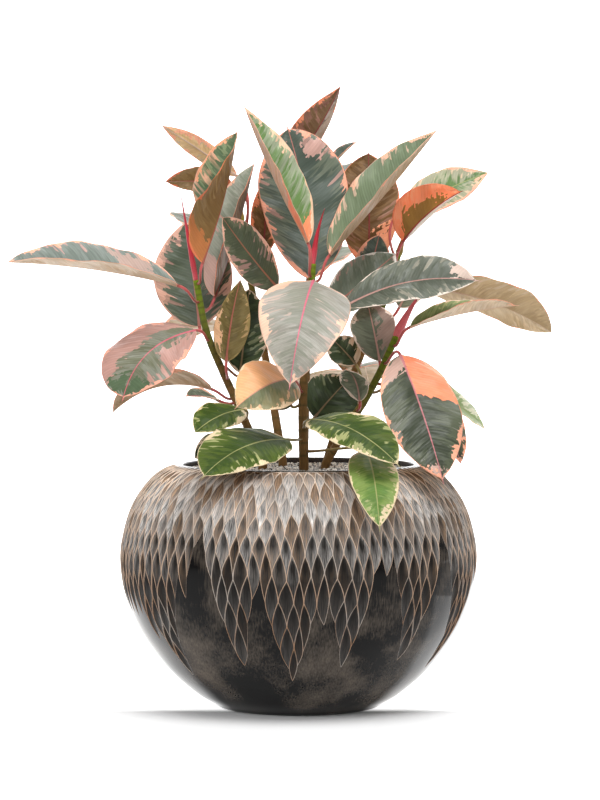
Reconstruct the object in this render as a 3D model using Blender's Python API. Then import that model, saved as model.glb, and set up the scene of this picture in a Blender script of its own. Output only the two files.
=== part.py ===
"""Potted rubber plant: six stems of variegated leaves in a carved globe pot.

Metres, +Z up. The origin is the centre of the pot's flat foot, and the front of the plant looks to -Y.
"""

import math
import random
from dataclasses import dataclass

import bmesh
import bpy
from mathutils import Matrix, Vector

# Clearance between pieces that touch
CLEARANCE = 0.0003

# Pot: radius and height of the outer profile, from the mouth to the foot
POT_PROFILE = [
    (0.1340, 0.2700), (0.1505, 0.2658), (0.1680, 0.2525), (0.1865, 0.2255),
    (0.1970, 0.1920), (0.2000, 0.1620), (0.1940, 0.1240), (0.1775, 0.0845),
    (0.1480, 0.0440), (0.1180, 0.0170), (0.0960, 0.0030),
]
FOOT_RADIUS = 0.0900
# Lip and inside of the pot, from the top of the lip to the inner floor
LIP_PROFILE = [(0.1320, 0.2705), (0.1302, 0.2692)]
NECK_RADIUS = 0.1288
NECK_BOTTOM = 0.2560
INNER_PROFILE = [
    (0.1580, 0.2460), (0.1840, 0.2100), (0.1915, 0.1640), (0.1800, 0.1080), (0.1420, 0.0500),
]
INNER_FLOOR_RADIUS = 0.0960
INNER_FLOOR_HEIGHT = 0.0110

# Carved net of scales: its rows of crossings by arc length below the mouth
SCALE_COLUMNS = 90
SCALE_ARCS = [
    0.004, 0.026, 0.048, 0.069, 0.090, 0.112, 0.137, 0.164, 0.192, 0.220, 0.244, 0.264, 0.283,
]
SCALE_ROWS = len(SCALE_ARCS) - 1
# Height of the smooth band under the net
SMOOTH_STEP = 0.032
CARVING_DEPTH = 0.0030
# How far down a scale its deepest point lies, as part of the scale's height
GOUGE_PLACE = 0.40
# Lower edge of the carving: azimuth from the front in degrees, arc length below the mouth
CARVED_EDGE = [
    (-164, 0.118), (-152, 0.232), (-141, 0.158), (-130, 0.255), (-119, 0.108), (-108, 0.232),
    (-98, 0.120), (-88, 0.232), (-76, 0.168), (-62, 0.168), (-50, 0.255), (-36, 0.118),
    (-32, 0.104), (-28, 0.135), (-24, 0.190), (-20, 0.232), (-14.5, 0.172), (-12.5, 0.148),
    (-9, 0.185), (-5, 0.235), (-2, 0.255), (0, 0.238), (2, 0.205), (6.5, 0.160), (16, 0.232),
    (26, 0.104), (28, 0.116), (31, 0.112), (40, 0.232), (48.5, 0.116), (52, 0.100), (58, 0.168),
    (61, 0.204), (66, 0.255), (69, 0.210), (73, 0.172), (79, 0.150), (90, 0.255), (101, 0.108),
    (116, 0.235), (124, 0.150), (134, 0.255), (147, 0.112), (160, 0.232), (170, 0.158),
    (182, 0.255),
]

# Turned pieces other than the carved net have half as many sides
SIDES = SCALE_COLUMNS // 2

# Soil and gravel
GRAVEL_BOTTOM = 0.2580
GRAVEL_TOP = 0.2655
GRAVEL_ROUGHNESS = 0.0016
GRAVEL_RINGS = 6
SOIL_TOP = GRAVEL_BOTTOM - CLEARANCE
STEM_FOOT = 0.2150
STEM_LEAVES_SOIL = 0.2700

# Stems
STEM_SIDES = 8
STEM_INTERNODE = 0.024
STEM_SWELLING = 0.05
SCAR_HEIGHT = 0.004

# Leaves
BLADE_THICKNESS = 0.0010
STALK_RADIUS = 0.0018
STALK_BANDS = 2
RIB_DEPTH = 0.0012
TIP_WIDTH = 0.0009
BLADE_STATIONS = (0.0, 0.04, 0.14, 0.30, 0.48, 0.66, 0.82, 0.93, 1.0)


@dataclass
class Stem:
    """A stem: its centre line from the soil up, and its radius at the foot and at the top."""

    name: str
    route: list
    foot_radius: float
    top_radius: float


@dataclass
class Leaf:
    """A leaf with its stalk.

    `node` is the height on the stem where the stalk leaves it, and `faces` the way that the upper
    side looks. `bow` and `sway` bend the midrib toward the upper side and to the right, as parts of
    the length. `fold` lifts the left and right halves, in degrees. `curl` turns the edges down and
    `wave` ripples them, as parts of the half width. `twist` turns the blade from base to tip.
    `belly` is where the blade is widest, as a part of its length, and a larger `point` narrows it
    toward the tip.
    """

    name: str
    stem: str
    node: float
    base: tuple
    tip: tuple
    width: float
    faces: tuple
    bow: float = 0.06
    sway: float = 0.0
    fold: tuple = (14, 14)
    curl: float = 0.12
    wave: float = 0.03
    twist: float = 0.0
    belly: float = 0.47
    point: float = 0.8
    across: int = 5


STEMS = [
    Stem("stem_middle", [(0.006, -0.030, 0.270), (0.005, -0.030, 0.347), (0.012, -0.028, 0.436),
                         (0.016, -0.030, 0.494)], 0.0054, 0.0036),
    Stem("stem_left", [(-0.040, 0.000, 0.270), (-0.064, 0.000, 0.328), (-0.084, 0.000, 0.372),
                       (-0.103, -0.010, 0.420), (-0.114, -0.015, 0.476)], 0.0050, 0.0034),
    Stem("stem_right", [(0.030, 0.000, 0.270), (0.055, -0.010, 0.313), (0.074, -0.010, 0.342),
                        (0.093, -0.015, 0.378), (0.109, -0.020, 0.414)], 0.0048, 0.0036),
    Stem("stem_back_right", [(0.032, 0.045, 0.270), (0.056, 0.055, 0.350), (0.074, 0.055, 0.398),
                             (0.097, 0.050, 0.451), (0.113, 0.040, 0.504)], 0.0048, 0.0032),
    Stem("stem_back_left", [(-0.018, 0.050, 0.270), (-0.036, 0.090, 0.376), (-0.054, 0.108, 0.467),
                            (-0.066, 0.112, 0.545)], 0.0050, 0.0032),
    Stem("stem_back", [(0.006, 0.065, 0.270), (0.010, 0.108, 0.410), (0.014, 0.116, 0.513),
                       (0.016, 0.112, 0.587)], 0.0052, 0.0032),
]

# Sheaths stand on three stem tops: name, stem, tip, radius
SHEATHS = [
    ("sheath_middle", "stem_middle", (0.029, -0.037, 0.555), 0.0034),
    ("sheath_left", "stem_left", (-0.131, -0.014, 0.572), 0.0032),
    ("sheath_right", "stem_right", (0.134, -0.040, 0.460), 0.0054),
]
SHEATH_SIDES = 6
# Height along the sheath and radius there, as parts of the whole
SHEATH_SHAPE = [(0.0, 0.70), (0.18, 1.0), (0.45, 0.80), (0.75, 0.42), (1.0, 0.08)]

LEAVES = [
    # Left stem
    Leaf("leaf_left_long", "stem_left", 0.452, (-0.134, -0.045, 0.470), (-0.324, -0.080, 0.495),
         0.088, (0.0, -0.30, 1.0), bow=0.03, fold=(31, 31), curl=0.05),
    Leaf("leaf_left_upright", "stem_left", 0.472, (-0.106, -0.034, 0.495), (-0.067, -0.030, 0.645),
         0.102, (-1.0, -0.03, 0.1), bow=-0.03, fold=(56, 34), twist=73),
    Leaf("leaf_left_inner", "stem_left", 0.440, (-0.094, 0.018, 0.458), (-0.049, 0.044, 0.614),
         0.090, (-0.8, -0.6, 0.2), twist=16, bow=-0.02, fold=(26, 52)),
    Leaf("leaf_left_broad", "stem_left", 0.424, (-0.112, 0.030, 0.424), (-0.130, 0.068, 0.548),
         0.092, (-0.1, -1.0, 0.25), bow=-0.04, fold=(10, 10)),
    Leaf("leaf_left_pink", "stem_left", 0.410, (-0.114, -0.036, 0.420), (-0.191, -0.095, 0.344),
         0.092, (-0.3, -0.75, 0.65), point=0.6, belly=0.58, bow=0.10, sway=0.11, fold=(8, 8), wave=0.05),
    Leaf("leaf_left_low", "stem_left", 0.345, (-0.098, 0.006, 0.354), (-0.213, 0.020, 0.324),
         0.078, (0.1, 0.10, 1.0), bow=0.15, fold=(36, 34)),
    Leaf("leaf_left_olive", "stem_left", 0.366, (-0.080, -0.030, 0.386), (-0.064, -0.004, 0.480),
         0.046, (0.45, 0.95, 0.1), point=1.0, belly=0.38, bow=-0.05, fold=(16, 16)),
    Leaf("leaf_left_tan", "stem_left", 0.340, (-0.090, -0.012, 0.342), (-0.126, -0.036, 0.347),
         0.032, (0.1, -0.4, 1.0), fold=(26, 26), across=3),
    Leaf("leaf_left_green", "stem_left", 0.320, (-0.062, -0.032, 0.332), (-0.115, -0.070, 0.307),
         0.058, (-0.2, -0.7, 0.9), bow=0.10, fold=(10, 10)),
    Leaf("leaf_left_small", "stem_left", 0.300, (-0.074, -0.012, 0.300), (-0.117, -0.022, 0.277),
         0.034, (0.1, -0.8, 0.6), bow=0.06, across=3),
    Leaf("leaf_left_shade", "stem_left", 0.378, (-0.066, 0.022, 0.372), (-0.056, 0.052, 0.470),
         0.056, (0.2, -1.0, 0.1), bow=0.03, across=3),

    # Middle stem
    Leaf("leaf_heart", "stem_middle", 0.460, (0.016, -0.060, 0.474), (-0.010, -0.138, 0.357),
         0.100, (0.0, -0.8, 0.6), belly=0.33, point=0.85, bow=0.18, fold=(6, 6), wave=0.05),
    Leaf("leaf_centre_left", "stem_middle", 0.448, (-0.024, 0.028, 0.468), (-0.086, -0.032, 0.548),
         0.054, (0.25, -0.95, 0.35), bow=-0.03, fold=(10, 10)),
    Leaf("leaf_centre_broad", "stem_middle", 0.462, (0.012, 0.005, 0.478), (-0.014, 0.040, 0.654),
         0.104, (0.1, -1.0, 0.2), sway=0.05, point=0.6, belly=0.58, bow=-0.05, fold=(12, 12)),
    Leaf("leaf_spear", "stem_middle", 0.480, (0.010, -0.046, 0.517), (-0.062, -0.052, 0.673),
         0.086, (0.6, -0.7, 0.4), point=1.1, bow=-0.03, fold=(60, 12)),
    Leaf("leaf_right_spear", "stem_middle", 0.474, (0.035, -0.036, 0.504), (0.157, -0.045, 0.647),
         0.094, (-0.55, -0.8, 0.45), point=1.1, bow=-0.02, fold=(8, 64)),
    Leaf("leaf_right_broad", "stem_middle", 0.434, (0.052, -0.062, 0.447), (0.199, -0.080, 0.474),
         0.064, (-0.1, -0.9, 0.6), sway=-0.075, belly=0.58, bow=0.05, fold=(8, 22)),
    Leaf("leaf_right_dark", "stem_middle", 0.428, (0.036, 0.000, 0.444), (0.112, 0.018, 0.508),
         0.062, (-0.3, -0.9, 0.35), bow=0.0, fold=(12, 12)),
    Leaf("leaf_peach", "stem_middle", 0.352, (-0.006, -0.066, 0.366), (-0.069, -0.116, 0.336),
         0.072, (-0.1, -0.95, 0.5), bow=0.18, fold=(10, 10)),
    Leaf("leaf_front_left", "stem_middle", 0.300, (-0.012, -0.070, 0.301), (-0.103, -0.170, 0.264),
         0.086, (-0.1, -0.7, 0.9), sway=0.04, bow=0.08, fold=(8, 8)),
    Leaf("leaf_front_right", "stem_middle", 0.312, (0.014, -0.078, 0.323), (0.108, -0.185, 0.277),
         0.072, (0.1, -0.65, 1.0), bow=0.10, fold=(10, 10)),
    Leaf("leaf_front_hanging", "stem_middle", 0.286, (0.073, -0.100, 0.290), (0.085, -0.212, 0.212),
         0.054, (0.1, -0.8, 0.6), bow=0.12, fold=(10, 10)),
    Leaf("leaf_low_dark", "stem_middle", 0.326, (0.018, 0.006, 0.322), (0.060, 0.022, 0.368),
         0.066, (-0.2, -0.95, 0.2), fold=(8, 8), across=3),
    Leaf("leaf_middle_low", "stem_middle", 0.338, (-0.008, -0.018, 0.336), (-0.040, -0.024, 0.364),
         0.036, (0.2, -1.0, 0.2), across=3),

    # Right stem
    Leaf("leaf_hanging", "stem_right", 0.384, (0.112, -0.058, 0.393), (0.156, -0.130, 0.256),
         0.086, (0.15, -0.9, 0.4), bow=0.06, fold=(8, 8)),
    Leaf("leaf_right_fold", "stem_right", 0.404, (0.124, -0.034, 0.424), (0.243, -0.050, 0.448),
         0.048, (-0.1, -0.18, 1.0), twist=-58, bow=0.03, fold=(40, 45)),
    Leaf("leaf_right_grey", "stem_right", 0.372, (0.091, 0.004, 0.386), (0.077, 0.012, 0.453),
         0.052, (0.1, -1.0, 0.2), belly=0.60, fold=(8, 8), across=3),
    Leaf("leaf_curl", "stem_right", 0.330, (0.068, -0.036, 0.342), (0.050, -0.068, 0.378),
         0.036, (-0.4, -0.8, -0.3), bow=-0.20, fold=(20, 20), across=3),
    Leaf("leaf_right_narrow", "stem_right", 0.362, (0.126, -0.014, 0.370), (0.180, -0.050, 0.269),
         0.056, (0.5, -0.5, 0.5), bow=0.08, fold=(20, 20), across=3),
    Leaf("leaf_right_green", "stem_right", 0.352, (0.120, 0.012, 0.362), (0.214, 0.030, 0.305),
         0.066, (0.2, -0.4, 1.0), bow=0.08, across=3),
    Leaf("leaf_right_olive", "stem_right", 0.350, (0.064, 0.008, 0.382), (0.036, 0.020, 0.412),
         0.040, (0.3, -1.0, 0.2), across=3),

    # Back right stem
    Leaf("leaf_orange", "stem_back_right", 0.494, (0.118, 0.020, 0.520), (0.184, -0.004, 0.576),
         0.070, (-0.1, 1.0, 0.1), belly=0.40, bow=0.0, sway=0.065, fold=(76, 6)),
    Leaf("leaf_variegated", "stem_back_right", 0.500, (0.118, 0.067, 0.555), (0.221, 0.067, 0.601),
         0.062, (-0.2, -0.75, 0.65), point=1.0, bow=0.03, fold=(14, 14)),
    Leaf("leaf_back_brown", "stem_back_right", 0.470, (0.080, 0.062, 0.492), (0.080, 0.080, 0.627),
         0.076, (-0.2, 1.0, 0.1), point=0.7, belly=0.60, bow=-0.03),
    Leaf("leaf_droop", "stem_back_right", 0.452, (0.142, 0.066, 0.468), (0.296, 0.080, 0.414),
         0.074, (0.15, 0.60, 1.0), point=0.7, belly=0.62, bow=0.08, fold=(12, 26)),
    Leaf("leaf_right_peach", "stem_back_right", 0.430, (0.114, 0.024, 0.446), (0.148, 0.022, 0.498),
         0.042, (-0.3, -0.9, 0.3), across=3),
    Leaf("leaf_back_small", "stem_back_right", 0.458, (0.078, 0.034, 0.470), (0.092, 0.030, 0.530),
         0.040, (-0.1, -1.0, 0.1), across=3),

    # Back stem
    Leaf("leaf_top_brown", "stem_back", 0.560, (-0.022, 0.080, 0.590), (0.050, 0.052, 0.702),
         0.054, (-0.2, 1.0, 0.2), point=1.1, fold=(58, 12), bow=-0.04, sway=-0.03),
    Leaf("leaf_top_small", "stem_back", 0.574, (0.030, 0.112, 0.598), (0.069, 0.118, 0.639),
         0.026, (-0.4, -0.8, 0.5), fold=(10, 60), across=3),

    # Back left stem
    Leaf("leaf_back_upper", "stem_back_left", 0.536, (-0.072, 0.104, 0.598), (-0.161, 0.090, 0.657),
         0.028, (-0.6, 0.45, 0.7), point=1.0, bow=0.03, fold=(20, 20)),
    Leaf("leaf_back_tan", "stem_back_left", 0.520, (-0.076, 0.080, 0.586), (-0.156, 0.078, 0.590),
         0.046, (-0.4, 0.6, 0.8), point=1.0, bow=0.04, across=3),
    Leaf("leaf_back_dark", "stem_back_left", 0.480, (-0.041, 0.086, 0.506), (-0.034, 0.074, 0.597),
         0.036, (0.0, 1.0, 0.1), across=3),

    # Behind, where the front view does not reach
    Leaf("leaf_rear_low", "stem_back", 0.350, (0.010, 0.136, 0.366), (0.030, 0.250, 0.330),
         0.080, (0.0, 0.3, 1.0), bow=0.12),
    Leaf("leaf_rear_left", "stem_back_left", 0.400, (-0.074, 0.124, 0.420), (-0.160, 0.205, 0.400),
         0.084, (-0.1, 0.4, 1.0), bow=0.12),
    Leaf("leaf_rear_right", "stem_back_right", 0.362, (0.070, 0.100, 0.376), (0.084, 0.216, 0.350),
         0.082, (0.1, 0.4, 1.0), bow=0.12),
    Leaf("leaf_rear_middle", "stem_back", 0.470, (0.020, 0.146, 0.490), (0.036, 0.258, 0.512),
         0.084, (0.0, -0.3, 1.0), bow=0.10),
    Leaf("leaf_rear_high", "stem_back", 0.540, (0.036, 0.140, 0.566), (0.078, 0.206, 0.622),
         0.074, (-0.4, -0.5, 1.0), bow=0.06),
    Leaf("leaf_rear_left_high", "stem_back_left", 0.490, (-0.084, 0.138, 0.516),
         (-0.150, 0.220, 0.560), 0.078, (0.4, -0.5, 1.0), bow=0.06),
]


def add_material(name: str, colour: tuple, roughness: float, metallic: float = 0.0):
    """A Principled material."""
    material = bpy.data.materials.new(name)
    material.use_nodes = True
    shader = material.node_tree.nodes["Principled BSDF"]
    shader.inputs["Base Color"].default_value = (*colour, 1.0)
    shader.inputs["Roughness"].default_value = roughness
    shader.inputs["Metallic"].default_value = metallic
    return material


def add_piece(name: str, points: list, faces: list, material, parent, sharp: float = 50):
    """One object from points and faces turned outward, smooth up to a sharp angle in degrees."""
    mesh = bpy.data.meshes.new(name)
    mesh.from_pydata([tuple(point) for point in points], [], faces)
    shell = bmesh.new()
    shell.from_mesh(mesh)
    bmesh.ops.recalc_face_normals(shell, faces=shell.faces)
    shell.to_mesh(mesh)
    shell.free()
    mesh.shade_smooth()
    mesh.set_sharp_from_angle(angle=math.radians(sharp))
    mesh.materials.append(material)
    piece = bpy.data.objects.new(name, mesh)
    bpy.context.scene.collection.objects.link(piece)
    piece.parent = parent
    return piece


def catmull_rom(points: list, steps: int) -> list:
    """A smooth curve through the points, with `steps` places in each span."""
    points = [Vector(point) for point in points]
    ends = [2 * points[0] - points[1]] + points + [2 * points[-1] - points[-2]]
    curve = []
    for p0, p1, p2, p3 in zip(ends, ends[1:], ends[2:], ends[3:]):
        for step in range(steps):
            t = step / steps
            curve.append(0.5 * (2 * p1 + (p2 - p0) * t + (2 * p0 - 5 * p1 + 4 * p2 - p3) * t * t
                                + (3 * p1 - p0 - 3 * p2 + p3) * t ** 3))
    return curve + [points[-1]]


def on_curve(curve: list, distance: float) -> Vector:
    """The place at an arc length along a polyline."""
    for start, end in zip(curve, curve[1:]):
        length = (end - start).length
        if distance <= length:
            return start.lerp(end, distance / length)
        distance -= length
    return curve[-1]


def at_height(curve: list, height: float) -> Vector:
    """The place where a rising polyline passes a height."""
    for start, end in zip(curve, curve[1:]):
        if height <= end.z:
            return start.lerp(end, (height - start.z) / (end.z - start.z))
    return curve[-1]


def around(radius: float, height: float, turn: float) -> Vector:
    """A place on the pot: `turn` is the part of a full turn from the front toward +X."""
    angle = 2 * math.pi * turn
    return Vector((radius * math.sin(angle), -radius * math.cos(angle), height))


def add_ring(points: list, radius: float, height: float, sides: int, offset: float = 0.0) -> list:
    """Adds a ring of points and returns their indices."""
    start = len(points)
    points += [around(radius, height, (side + offset) / sides) for side in range(sides)]
    return list(range(start, len(points)))


def bridge(upper: list, lower: list) -> list:
    """Quads between two rings of the same count."""
    count = len(upper)
    return [(upper[i], upper[(i + 1) % count], lower[(i + 1) % count], lower[i])
            for i in range(count)]


def bridge_to_half(fine: list, coarse: list) -> list:
    """Triangles from a ring to one of half its count."""
    faces = []
    count = len(fine)
    for i, corner in enumerate(coarse):
        first, middle, last = fine[2 * i], fine[2 * i + 1], fine[(2 * i + 2) % count]
        following = coarse[(i + 1) % len(coarse)]
        faces += [(corner, first, middle), (corner, middle, following), (following, middle, last)]
    return faces


def carved_depth(turn: float) -> float:
    """How far down the carving reaches at a part of a full turn from the front."""
    azimuth = turn * 360
    if azimuth > CARVED_EDGE[-1][0]:
        azimuth -= 360
    for (left, upper), (right, lower) in zip(CARVED_EDGE, CARVED_EDGE[1:]):
        if left <= azimuth <= right:
            return upper + (lower - upper) * (azimuth - left) / (right - left)
    last_azimuth, last_depth = CARVED_EDGE[-1]
    gap = CARVED_EDGE[0][0] + 360 - last_azimuth
    return last_depth + (CARVED_EDGE[0][1] - last_depth) * (azimuth + 360 - last_azimuth) / gap


def add_scale(points: list, profile: list, rows: list, row: int, column: int) -> list:
    """One lozenge of the net: four faces to a gouge where it is carved, two where it is not."""
    column_after = (column + 1) % SCALE_COLUMNS
    tip_column = column if row % 2 == 0 else column_after
    left, right = rows[row][column], rows[row][column_after]
    top, bottom = rows[row - 1][tip_column], rows[row + 1][tip_column]
    turn = (column + 0.5 + 0.5 * (row % 2)) / SCALE_COLUMNS
    if SCALE_ARCS[row] > carved_depth(turn):
        return [(top, left, bottom), (top, bottom, right)]
    arc = SCALE_ARCS[row - 1] + (SCALE_ARCS[row + 1] - SCALE_ARCS[row - 1]) * GOUGE_PLACE
    place = on_curve(profile, arc)
    normal = (on_curve(profile, arc + 0.001) - on_curve(profile, arc - 0.001)).normalized()
    radius = place.x + normal.y * CARVING_DEPTH
    height = place.y - normal.x * CARVING_DEPTH
    points.append(around(radius, height, turn))
    pit = len(points) - 1
    return [(top, left, pit), (left, bottom, pit), (bottom, right, pit), (right, top, pit)]


def carved_net(points: list, profile: list) -> tuple:
    """The carved part of the outside: its faces, its first ring and its last ring."""
    rows = []
    for row in range(SCALE_ROWS + 1):
        place = on_curve(profile, SCALE_ARCS[row])
        rows.append(add_ring(points, place.x, place.y, SCALE_COLUMNS, 0.5 * (row % 2)))
    faces = []
    for column in range(SCALE_COLUMNS):
        after = (column + 1) % SCALE_COLUMNS
        faces.append((rows[0][column], rows[1][column], rows[0][after]))
        faces.append((rows[-1][column], rows[-1][after], rows[-2][column]))
    for row in range(1, SCALE_ROWS):
        for column in range(SCALE_COLUMNS):
            faces += add_scale(points, profile, rows, row, column)
    return faces, rows[0], rows[-1]


def add_pot(material, parent):
    """The carved shell, from the net over the foot and the lip to the inner floor."""
    points = []
    profile = catmull_rom(POT_PROFILE, 12)
    faces, ring_top, ring_bottom = carved_net(points, profile)

    below = on_curve(profile, SCALE_ARCS[-1] + SMOOTH_STEP)
    lower = [(below.x, below.y), POT_PROFILE[-1], (FOOT_RADIUS, 0.0)]
    rings = [add_ring(points, radius, height, SIDES) for radius, height in lower]
    faces += bridge_to_half(ring_bottom, rings[0])
    for upper_ring, lower_ring in zip(rings, rings[1:]):
        faces += bridge(upper_ring, lower_ring)
    faces.append(rings[-1])

    inside = LIP_PROFILE + [(NECK_RADIUS, LIP_PROFILE[-1][1] - 0.002), (NECK_RADIUS, NECK_BOTTOM)]
    inside += INNER_PROFILE + [(INNER_FLOOR_RADIUS, INNER_FLOOR_HEIGHT)]
    rings = [add_ring(points, radius, height, SIDES) for radius, height in inside]
    faces += bridge_to_half(ring_top, rings[0])
    for upper_ring, lower_ring in zip(rings, rings[1:]):
        faces += bridge(upper_ring, lower_ring)
    faces.append(rings[-1])
    return add_piece("pot", points, faces, material, parent, sharp=12)


def stem_holes():
    """Cutters for the holes that the stems stand in, as one collection."""
    holes = bpy.data.collections.new("stem_holes")
    bpy.context.scene.collection.children.link(holes)
    for stem in STEMS:
        foot_x, foot_y = stem.route[0][:2]
        radius = stem.foot_radius + CLEARANCE / math.cos(math.pi / STEM_SIDES)
        bottom = STEM_FOOT - CLEARANCE
        depth = GRAVEL_TOP + 0.01 - bottom
        mesh = bpy.data.meshes.new("hole")
        shape = bmesh.new()
        bmesh.ops.create_cone(shape, cap_ends=True, segments=STEM_SIDES, radius1=radius,
                              radius2=radius, depth=depth)
        shape.transform(Matrix.Translation((foot_x, foot_y, bottom + depth / 2)))
        shape.to_mesh(mesh)
        shape.free()
        hole = bpy.data.objects.new("hole", mesh)
        hole.hide_render = True
        hole.display_type = "WIRE"
        holes.objects.link(hole)
    return holes


def cut_holes(piece, holes):
    """Cuts the stem holes into a piece."""
    cut = piece.modifiers.new("stem holes", "BOOLEAN")
    cut.operation = "DIFFERENCE"
    cut.solver = "EXACT"
    cut.operand_type = "COLLECTION"
    cut.collection = holes


def add_soil(holes, material, parent):
    """The growing medium, which fills the inside of the pot up to the gravel."""
    points = []
    outline = [(NECK_RADIUS - 2 * CLEARANCE, SOIL_TOP), (NECK_RADIUS - 2 * CLEARANCE, NECK_BOTTOM)]
    outline += [(radius - 2 * CLEARANCE, height - CLEARANCE) for radius, height in INNER_PROFILE]
    floor = INNER_FLOOR_HEIGHT + CLEARANCE
    outline.append((INNER_FLOOR_RADIUS - 2 * CLEARANCE, floor))
    rings = [add_ring(points, radius, height, SIDES) for radius, height in outline]
    faces = [rings[0], rings[-1]]
    for upper_ring, lower_ring in zip(rings, rings[1:]):
        faces += bridge(upper_ring, lower_ring)
    soil = add_piece("soil", points, faces, material, parent)
    cut_holes(soil, holes)
    return soil


def add_gravel(holes, material, parent):
    """The layer of grit on the soil, with an uneven top."""
    draw = random.Random(4)
    points = []
    edge = NECK_RADIUS - 2 * CLEARANCE
    bottom = add_ring(points, edge, GRAVEL_BOTTOM, SIDES)
    rings = []
    for ring in range(GRAVEL_RINGS):
        radius = edge * (1 - ring / GRAVEL_RINGS)
        rings.append(add_ring(points, radius, GRAVEL_TOP, SIDES, 0.5 * (ring % 2)))
    for index in range(rings[0][0], len(points)):
        points[index].z += draw.uniform(-GRAVEL_ROUGHNESS, GRAVEL_ROUGHNESS)
    points.append(Vector((0, 0, GRAVEL_TOP)))
    centre = len(points) - 1
    faces = [bottom] + triangles(bridge(rings[0], bottom))
    for outer, inner in zip(rings, rings[1:]):
        faces += triangles(bridge(outer, inner))
    faces += [(rings[-1][i], rings[-1][(i + 1) % SIDES], centre) for i in range(SIDES)]
    gravel = add_piece("gravel", points, faces, material, parent)
    cut_holes(gravel, holes)
    return gravel


def triangles(quads: list) -> list:
    """Splits each quad in two."""
    return [part for a, b, c, d in quads for part in ((a, b, c), (a, c, d))]


def stem_curve(stem: Stem) -> list:
    """The centre line of a stem, straight down into the soil."""
    foot_x, foot_y = stem.route[0][:2]
    return [Vector((foot_x, foot_y, STEM_FOOT))] + catmull_rom(stem.route, 8)


def stem_radius(stem: Stem, height: float) -> float:
    """The radius of a stem without its swellings."""
    top = stem.route[-1][2]
    part = max(0.0, (height - STEM_LEAVES_SOIL) / (top - STEM_LEAVES_SOIL))
    return stem.foot_radius + (stem.top_radius - stem.foot_radius) * part


def circle(centre: Vector, tangent: Vector, radius: float, sides: int) -> list:
    """A ring of points round a tangent, the first one toward +X."""
    tangent = tangent.normalized()
    right = (Vector((1, 0, 0)) - tangent * tangent.x).normalized()
    ahead = tangent.cross(right)
    angles = [2 * math.pi * side / sides for side in range(sides)]
    return [centre + (right * math.cos(a) + ahead * math.sin(a)) * radius for a in angles]


def add_tube(name: str, rings: list, material, parent):
    """A closed body through rings of the same count."""
    count = len(rings[0])
    points = [point for ring in rings for point in ring]
    indices = [list(range(i * count, (i + 1) * count)) for i in range(len(rings))]
    faces = [indices[0], indices[-1]]
    for lower, upper in zip(indices, indices[1:]):
        faces += triangles(bridge(lower, upper))
    return add_piece(name, points, faces, material, parent)


def stem_axis(curve: list, height: float) -> Vector:
    """The direction of a stem at a height."""
    if height <= STEM_LEAVES_SOIL:
        return Vector((0, 0, 1))
    reach = SCAR_HEIGHT
    return (at_height(curve, height + reach) - at_height(curve, height - reach)).normalized()


def stem_stations(stem: Stem) -> list:
    """Heights along a stem with the swelling at each: one ridge at every old leaf scar."""
    top = stem.route[-1][2]
    joints = round((top - STEM_LEAVES_SOIL) / STEM_INTERNODE)
    spacing = (top - STEM_LEAVES_SOIL) / joints
    stations = [(STEM_FOOT, 0.0), (STEM_LEAVES_SOIL, 0.0)]
    for joint in range(1, joints):
        scar = STEM_LEAVES_SOIL + spacing * joint
        stations += [(scar, STEM_SWELLING), (scar + SCAR_HEIGHT, 0.0)]
    return stations + [(top, 0.0)]


def add_stem(stem: Stem, material, parent):
    """A stem with a slight swelling at each old leaf scar."""
    curve = stem_curve(stem)
    rings = []
    for height, swelling in stem_stations(stem):
        radius = stem_radius(stem, height) * (1 + swelling)
        axis = stem_axis(curve, height)
        rings.append(circle(at_height(curve, height), axis, radius, STEM_SIDES))
    return add_tube(stem.name, rings, material, parent)


def add_sheath(name: str, stem: Stem, tip: tuple, radius: float, material, parent):
    """A pointed red sheath that stands on a stem's top."""
    curve = stem_curve(stem)
    tangent = (curve[-1] - curve[-2]).normalized()
    foot = curve[-1] + tangent * CLEARANCE
    tip = Vector(tip)
    bend = foot + tangent * (tip - foot).length * 0.5
    rings = []
    for part, width in SHEATH_SHAPE:
        centre = foot.lerp(bend, part).lerp(bend.lerp(tip, part), part)
        direction = (bend - foot).lerp(tip - bend, part)
        rings.append(circle(centre, direction, radius * width, SHEATH_SIDES))
    return add_tube(name, rings, material, parent)


def outline(leaf: Leaf, u: float) -> float:
    """Half width of a blade at a part of its length, as part of the greatest: an oval, a drip tip."""
    if u < leaf.belly:
        oval = (1 - (1 - u / leaf.belly) ** 2) ** 0.6
    else:
        oval = max(0.0, 1 - ((u - leaf.belly) / (0.96 - leaf.belly)) ** 2) ** leaf.point
    drip = 0.5 * (1 - u) if u > 0.5 else 0.0
    return max(oval, drip)


def blade_frame(leaf: Leaf, u: float) -> tuple:
    """The midrib's place, its direction, the right side and the upper side at a part of the length."""
    base, tip = Vector(leaf.base), Vector(leaf.tip)
    chord = tip - base
    upper = Vector(leaf.faces)
    upper = (upper - chord * upper.dot(chord) / chord.length_squared).normalized()
    side = chord.normalized().cross(upper)
    bend = base + chord / 2 + (upper * leaf.bow + side * leaf.sway) * 2 * chord.length
    place = base.lerp(bend, u).lerp(bend.lerp(tip, u), u)
    tangent = (bend - base).lerp(tip - bend, u).normalized()
    normal = (upper - tangent * upper.dot(tangent)).normalized()
    normal = Matrix.Rotation(math.radians(leaf.twist) * (u - 0.5), 3, tangent) @ normal
    return place, tangent, tangent.cross(normal), normal


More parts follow.
